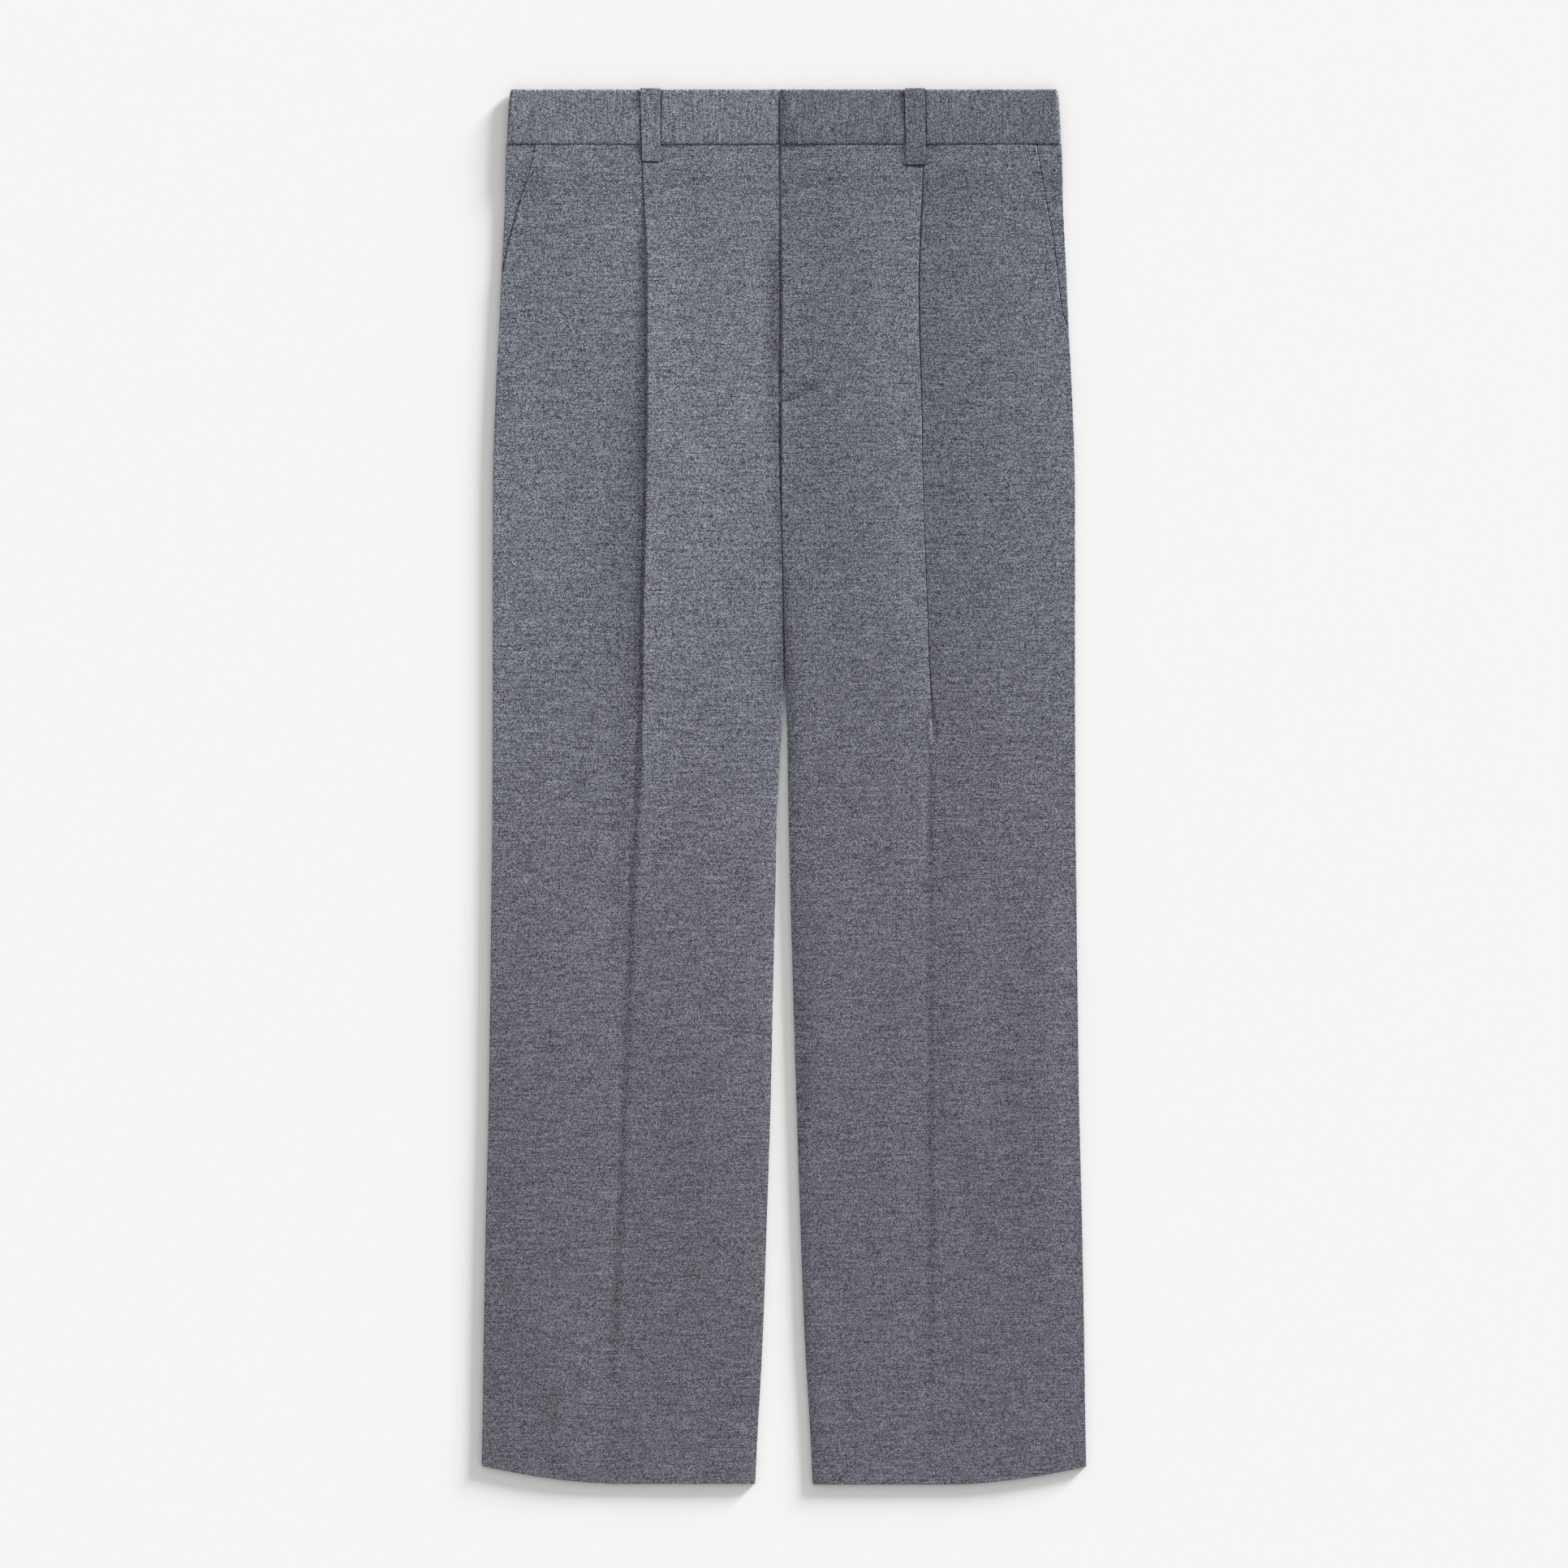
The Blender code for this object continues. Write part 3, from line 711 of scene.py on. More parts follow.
def evenly(start, end, count, last=0):
    """Places at even steps, up to just before the end, or with a last one on it."""
    return [between(start, end, step / count) for step in range(count + last)]


def in_slit(away, width):
    """How deep a place lies in the slit beside an edge: 1 on its floor and 0 on its shoulder."""
    return 1 - smooth((away - width) / SLIT_WALL)


def near(away, reach):
    """Falls from 1 at an edge to 0 at its reach, steepest at the edge."""
    return max(1 - away / reach, 0.0) ** 2


def outer_edge(side, down, wall):
    """A front's outer edge: the pocket mouth, and the side seam below it."""
    turned = smooth((down - MOUTH_END[side]) / MOUTH_TURN)
    mouth = look_up(MOUTH, down, side_name(side))
    extent = between(mouth, look_up(OUTLINE, down, "side"), turned)
    mouth_top = between(MOUTH_TOP, MOUTH_LOW_TOP, mouth_sink(side, down))
    height = between(mouth_top, SIDE_TOP, turned) - wall / 2
    curl = between(MOUTH_CURL, 1.0, turned)
    stand = between(MOUTH_STAND, height - SEAM_HEIGHT - SOLID_GAP / 2 - EDGE_RADIUS, turned)
    return rolled_edge(extent, -1, height, 1, curl, EDGE_RADIUS, wall, stand)


def side_part(side, down, edge, fold, root):
    """The cloth between a front's outer edge and its pleat."""
    start, height = edge
    shoulder, slit, reach = measures(SHOULDER, side, down)
    puff = measures(PUFF, side, down)[0]
    groove = MOUTH_GROOVE[side] * (1 - smooth((down - MOUTH_END[side]) / MOUTH_TURN))
    places = [start - distance for distance in MOUTH_COLUMNS]
    places += evenly(start - MOUTH_LAY, fold + EVEN_TO_FOLD, SIDE_COLUMNS)
    places += [fold + distance for distance in FOLD_COLUMNS]
    points = []
    for across in places:
        away = across - fold
        share = away / (start - fold)
        level = height + (root + shoulder - height) * near(away, reach) + puff * 4 * share * (1 - share)
        level -= shoulder * in_slit(away, slit)
        if across == start - MOUTH_STITCH:
            level -= groove
        points.append((across, level))
    return points


def centre_part(side, down, crest, inner_tip, anchor, lie):
    """The cloth between a front's pleat and its inner edge, with the slit beside the fly.

    Its lie is its height, how far it sinks, how far in that starts, and the slit's depth.
    """
    top_across, top_height = crest
    end_across, end_height = inner_tip
    height, sink, reach, groove = lie
    puff, crest_reach = measures(PUFF, side, down)[1:]
    slit = look_up(FLY_GROOVE, down, "width")
    places = [top_across - distance for distance in CREST_COLUMNS]
    places += evenly(top_across - EVEN_FROM_CREST, anchor + EVEN_TO_INNER, CENTRE_COLUMNS)
    places += [anchor + distance for distance in INNER_COLUMNS]
    points = []
    for across in places:
        share = (top_across - across) / (top_across - anchor)
        level = height + (top_height - height) * near(top_across - across, crest_reach)
        level += puff * 4 * share * (1 - share) - sink * near(across - anchor, reach)
        level -= groove * in_slit(across - anchor, slit)
        points.append((across, level))
    points += [(between(anchor, end_across, share), end_height) for share in UNDER_COLUMNS]
    return points


def front_section(side, down, wall):
    """The middle of a front's cloth, from its outer edge to its inner edge."""
    seam, fold = measures(OUTLINE, side, down)[1:]
    lapped = smooth((FLY_JOINED - down) / (FLY_JOINED - FLY_END)) if side == RIGHT else 0.0
    outer = outer_edge(side, down, wall)
    pleat = pleat_fold(fold, side, down, wall)
    groove = look_up(FLY_GROOVE, down, "depth") if side == RIGHT else 0.0
    top, sink, reach, curl = measures(CENTRE, side, down)
    height = (SIDE_TOP if side == RIGHT else top) - wall / 2
    tip = side * seam - FLY_UNDERLAP * lapped
    inner = seam_edge(tip, 1, height - (sink + groove), 1, curl, wall, INNER_RADIUS[side])
    anchor = between(inner[-1][0] + JOINED_ROOM, side * seam, lapped)
    middle = centre_part(side, down, pleat[-1], inner[-1], anchor, (height, sink, reach, groove))
    beside = side_part(side, down, outer[-1], max(fold, pleat[0][0]), pleat[0][1])
    return outer + beside + pleat + middle + inner[::-1]


def back_inner(side, down):
    """The inner edge of a back. The two backs meet down to the inside leg."""
    own = look_up(OUTLINE, down, side_name(side) + "_inner")
    other = look_up(OUTLINE, down, side_name(-side) + "_inner")
    sewn = side * (own + other) / 2 + BACK_SEAM_ROOM
    return between(sewn, side * own, smooth((down - INSIDE_LEG) / INSIDE_LEG_OPENS))


def back_section(side, down, wall):
    """The middle of a back's cloth, flat on the surface and rolled up at its edges."""
    extent = look_up(OUTLINE, down, "side")
    inner = back_inner(side, down)
    curl = look_up(CENTRE, down, "right_curl") if down > FLY_JOINED else 0.0
    outer_edge = seam_edge(extent, -1, wall / 2, -1, 1.0, wall)
    inner_edge = seam_edge(inner, 1, wall / 2, -1, curl, wall)
    start = outer_edge[-1][0]
    end = inner_edge[-1][0]
    steps = SIDE_COLUMNS + CENTRE_COLUMNS
    flat = [(across, wall / 2) for across in evenly(start, end, steps)[1:]]
    return outer_edge + flat + inner_edge[::-1]


def facing_section(side, down, wall):
    """A pocket facing: pressed over at the side seam, and dipping under the front's pocket mouth."""
    extent = look_up(OUTLINE, down, "side")
    mouth = look_up(MOUTH, down, side_name(side))
    height = between(SIDE_TOP, FACING_LOW_TOP, mouth_sink(side, down)) - wall / 2
    points = seam_edge(extent, -1, height, 1, 1.0, wall)
    start = points[-1][0]
    places = evenly(start, mouth + FACING_COLUMNS[0], FACING_EVEN_COLUMNS)[1:]
    places += [mouth + distance for distance in FACING_COLUMNS] + [mouth - POCKET_UNDERLAP]
    for across in places:
        across = min(across, points[-1][0] - LEAST_COLUMN)
        points.append((across, height - MOUTH_DIP * in_slit(across - mouth, MOUTH_SLIT)))
    return points


def levels(start, end, extra=()):
    """Levels of the rows of a panel: even, and close together at its ends."""
    count = round((end - start) / ROW_STEP)
    rows = {round(down, 3) for down in evenly(start, end, count, last=1)}
    for distance in END_ROWS:
        rows |= {round(start + distance, 3), round(end - distance, 3)}
    rows |= {round(down, 3) for down in extra}
    return sorted(down for down in rows if start <= down <= end)


def front_levels(side):
    """Rows of a front, close together where the pocket mouth, the fly, the loop and the pleat end."""
    mouth_end = MOUTH_END[side]
    loop_end = FRONT_LOOPS[side].end
    before, after, count = LOOP_END_ROWS
    spans = (
        FLY_ROWS, PLEAT_END_ROWS,
        (mouth_end, mouth_end + MOUTH_TURN, MOUTH_ROWS),
        (loop_end + before, loop_end + after, count),
    )
    close = []
    for start, end, count in spans:
        close += evenly(start, end, count, last=1)
    return levels(WAIST_SEAM, LENGTH, close)


def leg_rows(side, section, wall, down_levels, dip, up=1, folds=False):
    """Rows of points of a leg's panel, turned in at its waist seam and hem."""
    rows = []
    for down in down_levels:
        points = section(side, down, wall)
        outer = max(points)[0]
        inner = min(points)[0]
        turned = up * (seam_dip(down, dip) + edge_drop(LENGTH - down, HEM_EDGE))
        row = []
        for across, height in points:
            level = hem_level(side, down, (outer - across) / (outer - inner))
            fold = relief(side * across, down) if folds else 0.0
            row.append((side * across, length_wise(level), height + lift(down) + fold - turned))
        rows.append(row)
    return rows


def laid_cloth(name, rows, wall, material, outside):
    """A sheet of cloth through rows of points, thickened to both sides. The UV map is its flat cut."""
    steps_down = len(rows) - 1
    steps_across = len(rows[0]) - 1
    form = bmesh.new()
    cut = form.loops.layers.uv.new("cut")
    bmesh.ops.create_grid(form, x_segments=steps_across, y_segments=steps_down, size=0.5)
    flat = []
    for row in rows:
        onward = 1 if row[-1][0] > row[0][0] else -1
        along = [row[0][0] * MM]
        for a, b in zip(row, row[1:]):
            along.append(along[-1] + onward * math.dist(a, b) * MM)
        flat.append(along)
    places = {}
    for vertex in form.verts:
        column = round((vertex.co.x + 0.5) * steps_across)
        row = round((vertex.co.y + 0.5) * steps_down)
        places[vertex] = (row, column)
        vertex.co = Vector(rows[row][column]) * MM
    for face in form.faces:
        for loop in face.loops:
            row, column = places[loop.vert]
            loop[cut].uv = (flat[row][column], loop.vert.co.y)
    form.normal_update()
    if sum(face.normal.z * face.calc_area() for face in form.faces) * outside < 0:
        bmesh.ops.reverse_faces(form, faces=form.faces)
    for face in form.faces:
        face.smooth = True
    for edge in form.edges:
        if len(edge.link_faces) == 2 and edge.calc_face_angle() > SHARP_TURN:
            edge.smooth = False
    piece = finish_mesh(name, form, material)
    thicken = piece.modifiers.new("Cloth", "SOLIDIFY")
    thicken.thickness = wall * MM
    thicken.offset = 0.0
    thicken.use_even_offset = True
    return piece


def add_object(name, data):
    """A new object in the scene, at the origin."""
    made = bpy.data.objects.new(name, data)
    bpy.context.scene.collection.objects.link(made)
    return made


def mesh_object(name, form, material):
    """Make an object of a bmesh, at the origin."""
    mesh = bpy.data.meshes.new(name)
    form.to_mesh(mesh)
    form.free()
    mesh.materials.append(material)
    return add_object(name, mesh)


def finish_mesh(name, form, material):
    """Make a piece of a bmesh, riding on the trousers."""
    piece = mesh_object(name, form, material)
    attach(piece, BODY)
    return piece


def lay_sheet(node, rows, wall, outside, material, kind="_cloth"):
    """Lay a sheet in place of a solid, and hide the solid."""
    piece = laid_cloth(node + kind, rows, wall, material, outside)
    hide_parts(node)
    return piece


def set_inputs(node, inputs):
    """Give a node's inputs their numbers, or link them to the outputs of other nodes."""
    for name, value in inputs.items():
        if isinstance(value, bpy.types.NodeSocket):
            node.id_data.links.new(value, node.inputs[name])
        else:
            node.inputs[name].default_value = value


def node_of(tree, kind, place, label, inputs=None, **settings):
    """A new shader node with its settings and inputs."""
    made = tree.nodes.new("ShaderNode" + kind)
    made.location = place
    made.label = label
    for name, value in settings.items():
        setattr(made, name, value)
    set_inputs(made, inputs or {})
    return made


def scaled_noise(tree, place, label, source, texture):
    """Noise with its own fineness along and across the yarn."""
    mapping = node_of(tree, "Mapping", place, label + " scale", {"Vector": source, "Scale": texture.scale})
    inputs = {
        "Vector": mapping.outputs["Vector"], "Scale": 1.0,
        "Detail": texture.detail, "Roughness": NOISE_ROUGHNESS,
    }
    return node_of(tree, "TexNoise", (place[0] + 200, place[1]), label, inputs).outputs["Fac"]


def multiply_add(tree, place, label, value, factor, addend):
    """One value times another plus a third."""
    inputs = {0: value, 1: factor, 2: addend}
    return node_of(tree, "Math", place, label, inputs, operation="MULTIPLY_ADD").outputs[0]


def mixed(tree, place, label, share, first, second, blend="MIX"):
    """A mix of two colours, each given as numbers or by another node."""
    made = node_of(tree, "Mix", place, label, data_type="RGBA", blend_type=blend)
    set_inputs(made, {"Factor": share, "A": first, "B": second})
    return made.outputs["Result"]


def new_material(name):
    """A new material and its shader."""
    material = bpy.data.materials.new(name)
    material.use_nodes = True
    return material, material.node_tree.nodes["Principled BSDF"]


def fibres(tree, source, cloth, contrast):
    """Short floats of dark and light yarn with longer weft streaks, and the height of the streaks."""
    streaks = scaled_noise(tree, (-1200, 400), "Weft streaks", source, STREAKS)
    slubs = scaled_noise(tree, (-1200, -500), "Long streaks", source, LONG_STREAKS)
    weave = node_of(tree, "Mapping", (-1200, 0), "Weave scale", {"Vector": source, "Scale": FLOATS.scale})
    grain = node_of(
        tree, "TexVoronoi", (-1000, 0), "Floats of the yarn", voronoi_dimensions="2D",
        inputs={"Vector": weave.outputs["Vector"], "Scale": 1.0},
    )
    middle = (FLOATS.weight + STREAKS.weight + LONG_STREAKS.weight) / 2
    mix = multiply_add(tree, (-700, 300), "Add grain", grain.outputs["Color"], FLOATS.weight, -middle)
    mix = multiply_add(tree, (-550, 300), "Add streaks", streaks, STREAKS.weight, mix)
    mix = multiply_add(tree, (-400, 300), "Add long streaks", slubs, LONG_STREAKS.weight, mix)
    share = multiply_add(tree, (-100, 300), "Centre", mix, contrast, MIDDLE_TONE)
    dark, light = (
        (*(value ** (1 / FIBRE_GAMMA) for value in yarn), 1.0) for yarn in (cloth.dark_yarn, cloth.light_yarn)
    )
    yarn = mixed(tree, (50, 300), "Dark and light fibres", share, dark, light)
    inputs = {"Color": yarn, "Gamma": FIBRE_GAMMA}
    return node_of(tree, "Gamma", (150, 400), "Even spread of tones", inputs).outputs["Color"], streaks


def suiting(name, turned, upper, lower):
    """Melange suiting of one piece, cut crosswise if it is turned.

    It is painted lighter or darker, with painted light and shade of one strength at the waist and another at
    the hem.
    """
    material, shader = new_material(name)
    tree = material.node_tree
    source = node_of(tree, "UVMap", (-1700, 0), "Flat cut", uv_map="cut").outputs["UV"]
    if turned:
        inputs = {"Vector": source, "Rotation": (0.0, 0.0, math.radians(90))}
        source = node_of(tree, "Mapping", (-1500, 0), "Cut crosswise", inputs).outputs["Vector"]
    place = node_of(tree, "TexCoord", (-700, 700), "Place").outputs["Object"]
    split = node_of(tree, "SeparateXYZ", (-500, 700), "Length", {"Vector": place})
    start, end = (length_wise(level) * MM for level in (PAINTED_SHADE_START, PAINTED_SHADE_END))
    down = node_of(
        tree, "MapRange", (-300, 700), "Down the leg", interpolation_type="SMOOTHSTEP",
        inputs={"Value": split.outputs["Y"], "From Min": start, "From Max": end},
    ).outputs["Result"]
    strength = BAND_CONTRAST if turned else 1.0
    calm = multiply_add(tree, (-300, 500), "Calmer hem", down, -HEM_CALM * strength, strength)
    even, streaks = fibres(tree, source, bpy.context.scene.trouser_cloth, calm)
    # Painted light and shade: the fibres are multiplied lighter or darker, changing down the leg.
    painted_shade = mixed(tree, (-100, 700), "Tint", down, (*upper, 1.0), (*lower, 1.0))
    fibres_and_painted_shade = mixed(tree, (250, 500), "Fibres with painted shade", 1.0, even, painted_shade, "MULTIPLY")
    bump = node_of(tree, "Bump", (50, -100), "Weave", {"Height": streaks, **WEAVE_RELIEF})
    set_inputs(shader, {"Base Color": fibres_and_painted_shade, "Normal": bump.outputs["Normal"], **SUITING_LOOK})
    return material


def plain_material(name, colour, roughness):
    """A material of one colour."""
    material, shader = new_material(name)
    set_inputs(shader, {"Base Color": (*colour, 1.0), "Roughness": roughness})
    return material


def thread_material(colour):
    """Twisted thread: fine light and dark along each stitch."""
    material = plain_material("thread", colour, THREAD_ROUGHNESS)
    tree = material.node_tree
    place = node_of(tree, "TexCoord", (-900, 0), "Place").outputs["Object"]
    twist = scaled_noise(tree, (-700, 0), "Twist", place, TWIST)
    dark, light = ((*(value * shade for value in colour), 1.0) for shade in THREAD_SHADES)
    ply = mixed(tree, (-200, 0), "Ply", twist, dark, light)
    set_inputs(tree.nodes["Principled BSDF"], {"Base Color": ply})
    return material


def leg_cloth(side):
    """Suiting of one leg with its painted light and shade, made once."""
    name = side_name(side) + "_leg_suiting"
    return bpy.data.materials.get(name) or suiting(name, False, *LEG_PAINTED_LIGHT_AND_SHADE[side])


def band_cloth(side):
    """Suiting of one half of the waistband with its painted light and shade, cut crosswise and made once."""
    name = side_name(side) + "_band_suiting"
    return bpy.data.materials.get(name) or suiting(name, True, BAND_PAINTED_LIGHT_AND_SHADE[side], BAND_PAINTED_LIGHT_AND_SHADE[side])


class TROUSERS_OT_fronts(bpy.types.Operator):
    """Lay the two fronts, each with its pleat, pressed crease and pocket mouth"""

    bl_idname = "trousers.fronts"
    bl_label = "Fronts"

    def execute(self, context):
        wall = context.scene.trouser_cloth.wall
        for side in (RIGHT, LEFT):
            name = side_name(side)
            rows = leg_rows(side, front_section, wall, front_levels(side), SEAM_DITCH, folds=True)
            cloth = leg_cloth(side)
            lay_sheet(name + "_front", rows, wall, 1, cloth)
        return {"FINISHED"}


class TROUSERS_OT_backs(bpy.types.Operator):
    """Lay the two backs flat on the surface"""

    bl_idname = "trousers.backs"
    bl_label = "Backs"

    def execute(self, context):
        wall = context.scene.trouser_cloth.wall
        for side in (RIGHT, LEFT):
            name = side_name(side)
            rows = leg_rows(side, back_section, wall, levels(WAIST_SEAM, LENGTH), BACK_SEAM_DIP, up=-1)
            lay_sheet(name + "_back", rows, wall, -1, leg_cloth(side))
        return {"FINISHED"}


class TROUSERS_OT_pocket_facings(bpy.types.Operator):
    """Lay the facings that show in the slanted pocket mouths"""

    bl_idname = "trousers.pocket_facings"
    bl_label = "Pocket facings"

    def execute(self, context):
        wall = context.scene.trouser_cloth.wall
        for side in (RIGHT, LEFT):
            name = side_name(side)
            rows = leg_rows(side, facing_section, wall, levels(WAIST_SEAM, MOUTH_END[side]), SEAM_DITCH)
            lay_sheet(name + "_pocket_facing", rows, wall, 1, leg_cloth(side))
        return {"FINISHED"}


def band_turn(down, edges):
    """How far a band is turned in at its rounded top and at its seam."""
    top, seam = edges
    return edge_drop(down, top) + edge_drop(BAND_DEPTH - down, seam)


def band_places(side, down, start, anchor):
    """Columns of a front band from its side to its end, close beside the loop, and the loop's edges."""
    middle, half = loop_place(FRONT_LOOPS[side], down)
    outer, inner = edges = (side * middle + half, side * middle - half)
    places = evenly(start, outer + LOOP_EVEN_TO_GROOVE, BAND_EVEN_COLUMNS)[1:]
    places += [outer + distance for distance in LOOP_GROOVE_COLUMNS] + [sum(edges) / 2]
    places += [inner - distance for distance in reversed(LOOP_GROOVE_COLUMNS)]
    places += evenly(inner - LOOP_EVEN_TO_GROOVE, anchor + BAND_EVEN_TO_INNER, BAND_EVEN_COLUMNS)
    places += [anchor + distance for distance in INNER_COLUMNS]
    if side == RIGHT:
        places += [anchor + distance for distance in BAND_UNDER_COLUMNS]
    return places, edges


def band_section(side, down, wall):
    """The middle of a front band's cloth: the left one ends at its lap, the right one goes on under it."""
    name = side_name(side)
    extent, crown = measures(BAND_SIDES, side, down)
    height = BAND_TOPS[0].right - wall / 2
    roll = height - BAND_SEAM_HEIGHT - SOLID_GAP / 2
    points = rolled_edge(extent, -1, height, 1, 1.0, roll, wall)
    end = BAND_LAP_EDGE if side == LEFT else -BAND_UNDERLAP_EDGE
    end_low = BAND_END_SINK if side == LEFT else BAND_DIP
    end_height = look_up(BAND_TOPS, end, name) - wall / 2 - end_low
    lap = rolled_edge(end, 1, end_height, 1, BAND_END_CURL, BAND_END_RADIUS, wall)
    anchor = -BAND_LAP_EDGE if side == RIGHT else lap[-1][0] + JOINED_ROOM
    places, edges = band_places(side, down, points[-1][0], anchor)
    for across in places:
        level = look_up(BAND_TOPS, across, name) - wall / 2
        if side == RIGHT:
            level -= BAND_DIP * in_slit(across - anchor, BAND_SLIT)
        else:
            level -= BAND_END_SINK * near(across - anchor, BAND_END_REACH)
        closest = min(abs(across - edge) for edge in edges)
        level -= LOOP_GROOVE * (1 - smooth(closest / LOOP_GROOVE_WIDTH))
        points.append((across, level + crown * smooth((across - end) / BAND_CROWN_REACH)))
    return points + lap[::-1]


class TROUSERS_OT_waistband(bpy.types.Operator):
    """Lay the waistband: two lapped front halves and the back"""

    bl_idname = "trousers.waistband"
    bl_label = "Waistband"

    def execute(self, context):
        wall = context.scene.trouser_cloth.band_wall
        for side in (RIGHT, LEFT):
            self.front_half(side, wall)
        self.back(wall)
        return {"FINISHED"}

    def front_half(self, side, wall):
        """Lay one front half."""
        rows = []
        for down in BAND_LEVELS:
            section = band_section(side, down, wall)
            turned = band_turn(down, FRONT_BAND_EDGES)
            rows.append([(side * across, length_wise(down), height - turned) for across, height in section])
        node = side_name(side) + "_waistband"
        lay_sheet(node, rows, wall, 1, band_cloth(side))

    def back(self, wall):
        """Lay the back, flat on the back belt loops."""
        rows = []
        height = BACK_BAND_LOW + wall / 2
        roll = BAND_SEAM_HEIGHT - SOLID_GAP / 2 - height
        for down in BAND_LEVELS:
            extent = look_up(BAND_SIDES, down, "side")
            edge = rolled_edge(extent, -1, height, -1, 1.0, roll, wall)
            half = edge + [(across, height) for across in evenly(edge[-1][0], 0.0, BACK_BAND_COLUMNS)[1:]]
            points = [(-across, z) for across, z in half] + [(0.0, height)] + half[::-1]
            turned = band_turn(down, BACK_BAND_EDGES)
            rows.append([(x, length_wise(down), z + turned) for x, z in points])
        lay_sheet("back_waistband", rows, wall, -1, band_cloth(LEFT))


class TROUSERS_OT_belt_loops(bpy.types.Operator):
    """Lay the belt loops: two in front with their ends turned under, three flat ones behind"""

    bl_idname = "trousers.belt_loops"
    bl_label = "Belt loops"

    def execute(self, context):
        wall = context.scene.trouser_cloth.loop_wall
        for side, loop in FRONT_LOOPS.items():
            rests_on = ["right_waistband", "left_waistband"]
            self.lay(loop.node, self.front_rows(loop, wall), wall, 1, band_cloth(side), rests_on)
        for node in BACK_LOOPS:
            self.lay(node, self.back_rows(node, wall), wall, -1, band_cloth(LEFT), ["floor"])
        return {"FINISHED"}

    def lay(self, node, rows, wall, outside, material, rests_on):
        """Lay one strip and round its folded edges."""
        piece = lay_sheet(node, rows, wall, outside, material, kind="_strip")
        bevel = piece.modifiers.new("Folded edges", "BEVEL")
        bevel.width = wall * LOOP_EDGE_SHARE * MM
        bevel.segments = LOOP_EDGE_STEPS
        bevel.limit_method = "ANGLE"
        bevel.angle_limit = LOOP_EDGE_TURN

    def back_rows(self, node, wall):
        """Rows of a flat loop on its solid's box."""
        low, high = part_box(node)
        rows = []
        for y in evenly(high[1], low[1], BACK_LOOP_ROWS, last=1):
            places = evenly(low[0], high[0], BACK_LOOP_COLUMNS, last=1)
            rows.append([(x / MM, y / MM, wall / 2) for x in places])
        return rows

    def front_rows(self, loop, wall):
        """Rows of a front loop, from one end turned under to the other."""
        radius = LOOP_PLY / 2
        reach = radius + wall / 2
        top = -LOOP_RISE + reach
        bottom = loop.end - reach
        half_turn = radius * math.pi
        upper = LOOP_TOP_UNDER + LOOP_PLY
        lower = LOOP_END_UNDER + LOOP_PLY
        path = [(LOOP_TUCK, LOOP_TOP_UNDER), (top, LOOP_TOP_UNDER)]
        arc(path, math.pi, -math.pi, half_turn, FOLD_STEPS)
        path += [(top + LOOP_FLAT * 0.5, upper), (top + LOOP_FLAT, upper - LOOP_TOP_SINK), *LOOP_SAG]
        for flats, share in LOOP_DROP:
            path.append((bottom - LOOP_FLAT * flats, between(lower, LOOP_SAG_HEIGHT, share)))
        path.append((bottom, lower))
        arc(path, 0.0, -math.pi, half_turn, FOLD_STEPS)
        path.append((loop.end - LOOP_FLAT, LOOP_END_UNDER))
        rows = []
        for down, height in path:
            middle, half = loop_place(loop, down)
            rows.append([(middle + half * share, length_wise(down), height) for share in LOOP_COLUMNS])
        return rows


def surface_of(name):
    """A piece's evaluated surface, for things that are sewn on it."""
    deps = bpy.context.evaluated_depsgraph_get()
    return BVHTree.FromObject(bpy.data.objects[name], deps)


def top_of(surface, x, y):
    """Height of the top of a surface, in mm, above a place in mm."""
    hit = surface.ray_cast(Vector((x * MM, y * MM, ABOVE_ALL)), Vector((0.0, 0.0, -1.0)))[0]
    if hit is None:
        raise RuntimeError(f"nothing to sew on at {x:.1f}, {y:.1f}")
    return hit.z / MM


def add_stitch(form, surface, start, end, width, sides):
    """One stitch: a slender drop of thread between two places, pulled into the cloth at both."""
    middle = (Vector(start) + Vector(end)) / 2
    along = Vector(end) - Vector(start)
    height = top_of(surface, middle.x, middle.y) + width * STITCH_SIT
    shape = Matrix.Translation((middle.x * MM, middle.y * MM, height * MM))
    shape @= Matrix.Rotation(math.atan2(along.y, along.x), 4, "Z")
    shape @= Matrix.Diagonal((along.length / 2 * MM, width / 2 * MM, width / 2 * MM, 1.0))
    made = bmesh.ops.create_uvsphere(
        form, u_segments=sides, v_segments=STITCH_RINGS, radius=1.0, matrix=shape
    )
    for vertex in made["verts"]:
        for face in vertex.link_faces:
            face.smooth = True


def walk(points, step):
    """Places at even steps along a line of points."""
    places = [Vector(points[0])]
    left = step
    for a, b in zip(points, points[1:]):
        start = Vector(a)
        run = Vector(b) - start
        gone = 0.0
        while run.length - gone >= left:
            gone += left
            places.append(start + run.normalized() * gone)
            left = step
        left -= run.length - gone
    return places


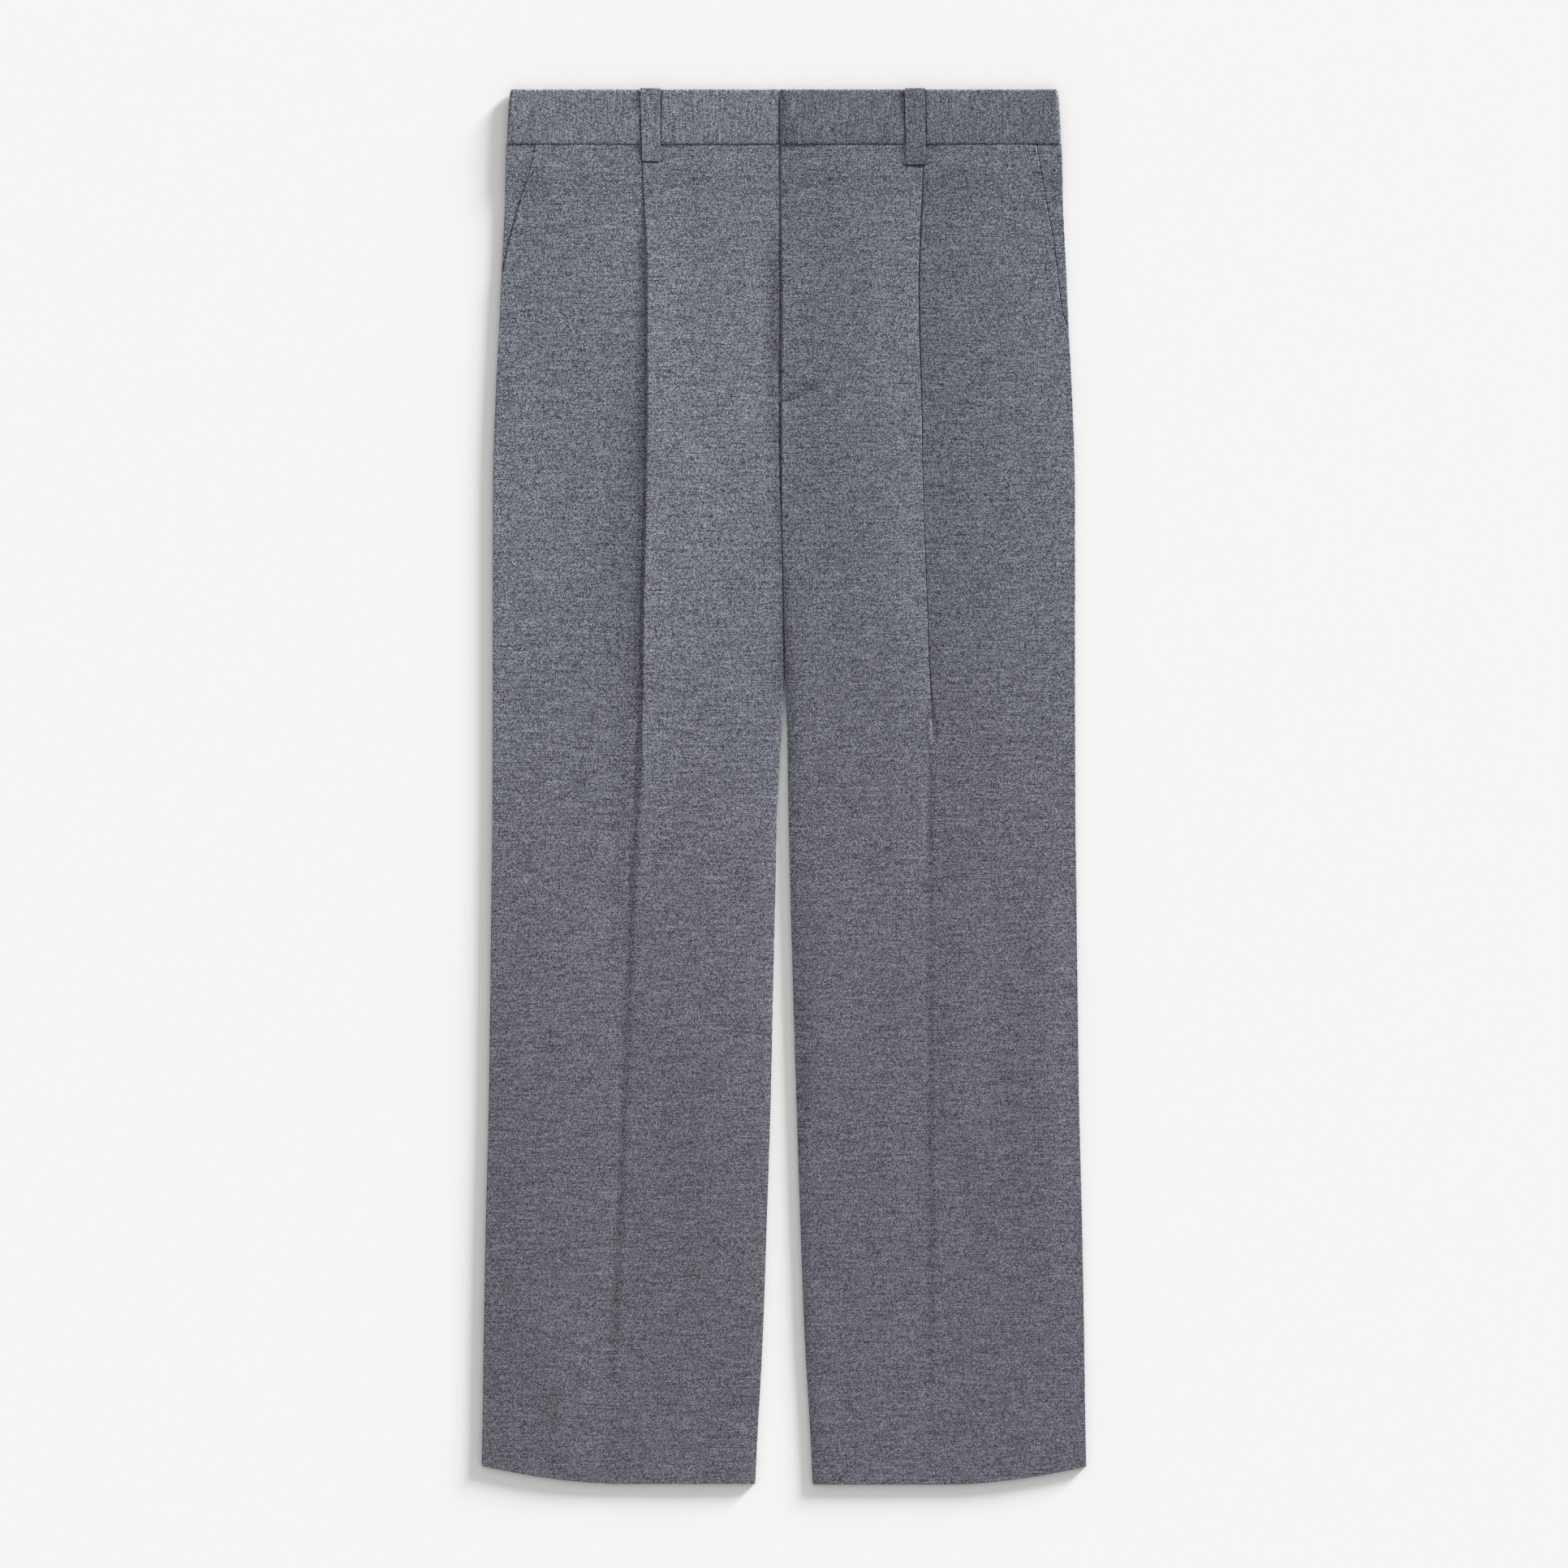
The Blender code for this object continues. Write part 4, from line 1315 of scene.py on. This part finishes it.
class TROUSERS_OT_stitching(bpy.types.Operator):
    """Sew the fly's stitching and the bar tacks"""

    bl_idname = "trousers.stitching"
    bl_label = "Stitching"

    def execute(self, context):
        cloth = context.scene.trouser_cloth
        thread = thread_material(cloth.thread)
        for name, sew in (("fly_stitching", self.fly), ("bar_tacks", self.tacks)):
            form = bmesh.new()
            sew(form, cloth)
            piece = finish_mesh(name, form, thread)
        return {"FINISHED"}

    def fly(self, form, cloth):
        """Sew along the fly's lower end."""
        surface = surface_of("left_front_cloth")
        route = [(across, length_wise(down)) for across, down in FLY_STITCH]
        places = walk(route, cloth.stitch)
        for a, b in zip(places, places[1:]):
            reach = (b - a) * STITCH_HALF
            middle = (a + b) / 2
            add_stitch(form, surface, middle - reach, middle + reach, FLY_THREAD, cloth.stitch_steps)

    def tacks(self, form, cloth):
        """Sew each bar tack: stitches side by side, across its run."""
        for tack in BAR_TACKS:
            surface = surface_of(tack.piece)
            turn = math.radians(tack.slant)
            run = Vector((math.cos(turn), math.sin(turn)))
            half = Vector((-run.y, run.x)) * TACK_HALF
            middle = Vector((tack.across, length_wise(tack.down)))
            count = round(tack.length / TACK_PITCH)
            for step in range(count):
                place = middle + run * (step / (count - 1) - 0.5) * tack.length
                add_stitch(form, surface, place - half, place + half, TACK_THREAD, cloth.stitch_steps)


class TROUSERS_OT_stage(bpy.types.Operator):
    """Set the floor, the light and the camera"""

    bl_idname = "trousers.stage"
    bl_label = "Stage"

    def execute(self, context):
        stage = context.scene.trouser_stage
        context.scene.view_settings.view_transform = "Standard"
        self.floor(stage)
        self.light(stage)
        self.camera(stage)
        return {"FINISHED"}

    def floor(self, stage):
        """Lay the plain floor just below the trousers."""
        form = bmesh.new()
        bmesh.ops.create_grid(form, x_segments=1, y_segments=1, size=FLOOR_HALF)
        bmesh.ops.translate(form, vec=(0.0, 0.0, -FLOOR_DROP), verts=form.verts)
        floor = mesh_object("floor", form, plain_material("floor", stage.floor_colour, FLOOR_ROUGHNESS))

    def light(self, stage):
        """Light it evenly from all round, and from one side with the key light."""
        world = bpy.data.worlds.new("even_light")
        bpy.context.scene.world = world
        world.use_nodes = True
        set_inputs(
            world.node_tree.nodes["Background"], {"Color": (1.0, 1.0, 1.0, 1.0), "Strength": stage.fill}
        )
        lamp = bpy.data.lights.new("key", "SUN")
        lamp.energy = stage.key
        lamp.angle = stage.key_spread
        level = math.cos(stage.key_height)
        way = Vector((
            level * math.cos(stage.key_way), level * math.sin(stage.key_way), math.sin(stage.key_height)
        ))
        key = add_object("key", lamp)
        key.location = way
        key.rotation_mode = "QUATERNION"
        key.rotation_quaternion = (-way).to_track_quat("-Z", "Y")

    def camera(self, stage):
        """Look straight down on the trousers, as far off as the lens asks."""
        lens = bpy.data.cameras.new("photo")
        lens.type = "PERSP"
        lens.lens = stage.lens
        view = add_object("photo", lens)
        width = PHOTO_PIXELS * PIXEL * MM
        view.location = PHOTO_MIDDLE * MM + Vector((0.0, 0.0, width * lens.lens / lens.sensor_width))
        bpy.context.scene.camera = view


class TROUSERS_PT_sidebar(bpy.types.Panel):
    """Pieces of the trousers"""

    bl_label = "Trousers"
    bl_space_type = "VIEW_3D"
    bl_region_type = "UI"
    bl_category = "Trousers"

    def draw(self, context):
        """Show every setting, and a button for each operator."""
        layout = self.layout
        for group in (context.scene.trouser_cloth, context.scene.trouser_stage):
            box = layout.box()
            for name in group.bl_rna.properties.keys():
                if name not in ("rna_type", "name"):
                    box.prop(group, name)
        for operator in OPERATORS:
            layout.operator(operator.bl_idname)


OPERATORS = (
    TROUSERS_OT_backs,
    TROUSERS_OT_pocket_facings,
    TROUSERS_OT_fronts,
    TROUSERS_OT_waistband,
    TROUSERS_OT_belt_loops,
    TROUSERS_OT_stitching,
    TROUSERS_OT_stage,
)
CLASSES = (TrouserCloth, TrouserStage, *OPERATORS, TROUSERS_PT_sidebar)


def register():
    """Add the settings, the operators and the panel."""
    for kind in CLASSES:
        bpy.utils.register_class(kind)
    bpy.types.Scene.trouser_cloth = PointerProperty(type=TrouserCloth)
    bpy.types.Scene.trouser_stage = PointerProperty(type=TrouserStage)


def unregister():
    """Take them out again."""
    del bpy.types.Scene.trouser_stage
    del bpy.types.Scene.trouser_cloth
    for kind in reversed(CLASSES):
        bpy.utils.unregister_class(kind)


def main():
    """Make everything."""
    register()
    bpy.ops.trousers.backs()
    bpy.ops.trousers.pocket_facings()
    bpy.ops.trousers.fronts()
    bpy.ops.trousers.waistband()
    bpy.ops.trousers.belt_loops()
    bpy.ops.trousers.stitching()
    bpy.ops.trousers.stage()


if __name__ == "__main__":
    main()
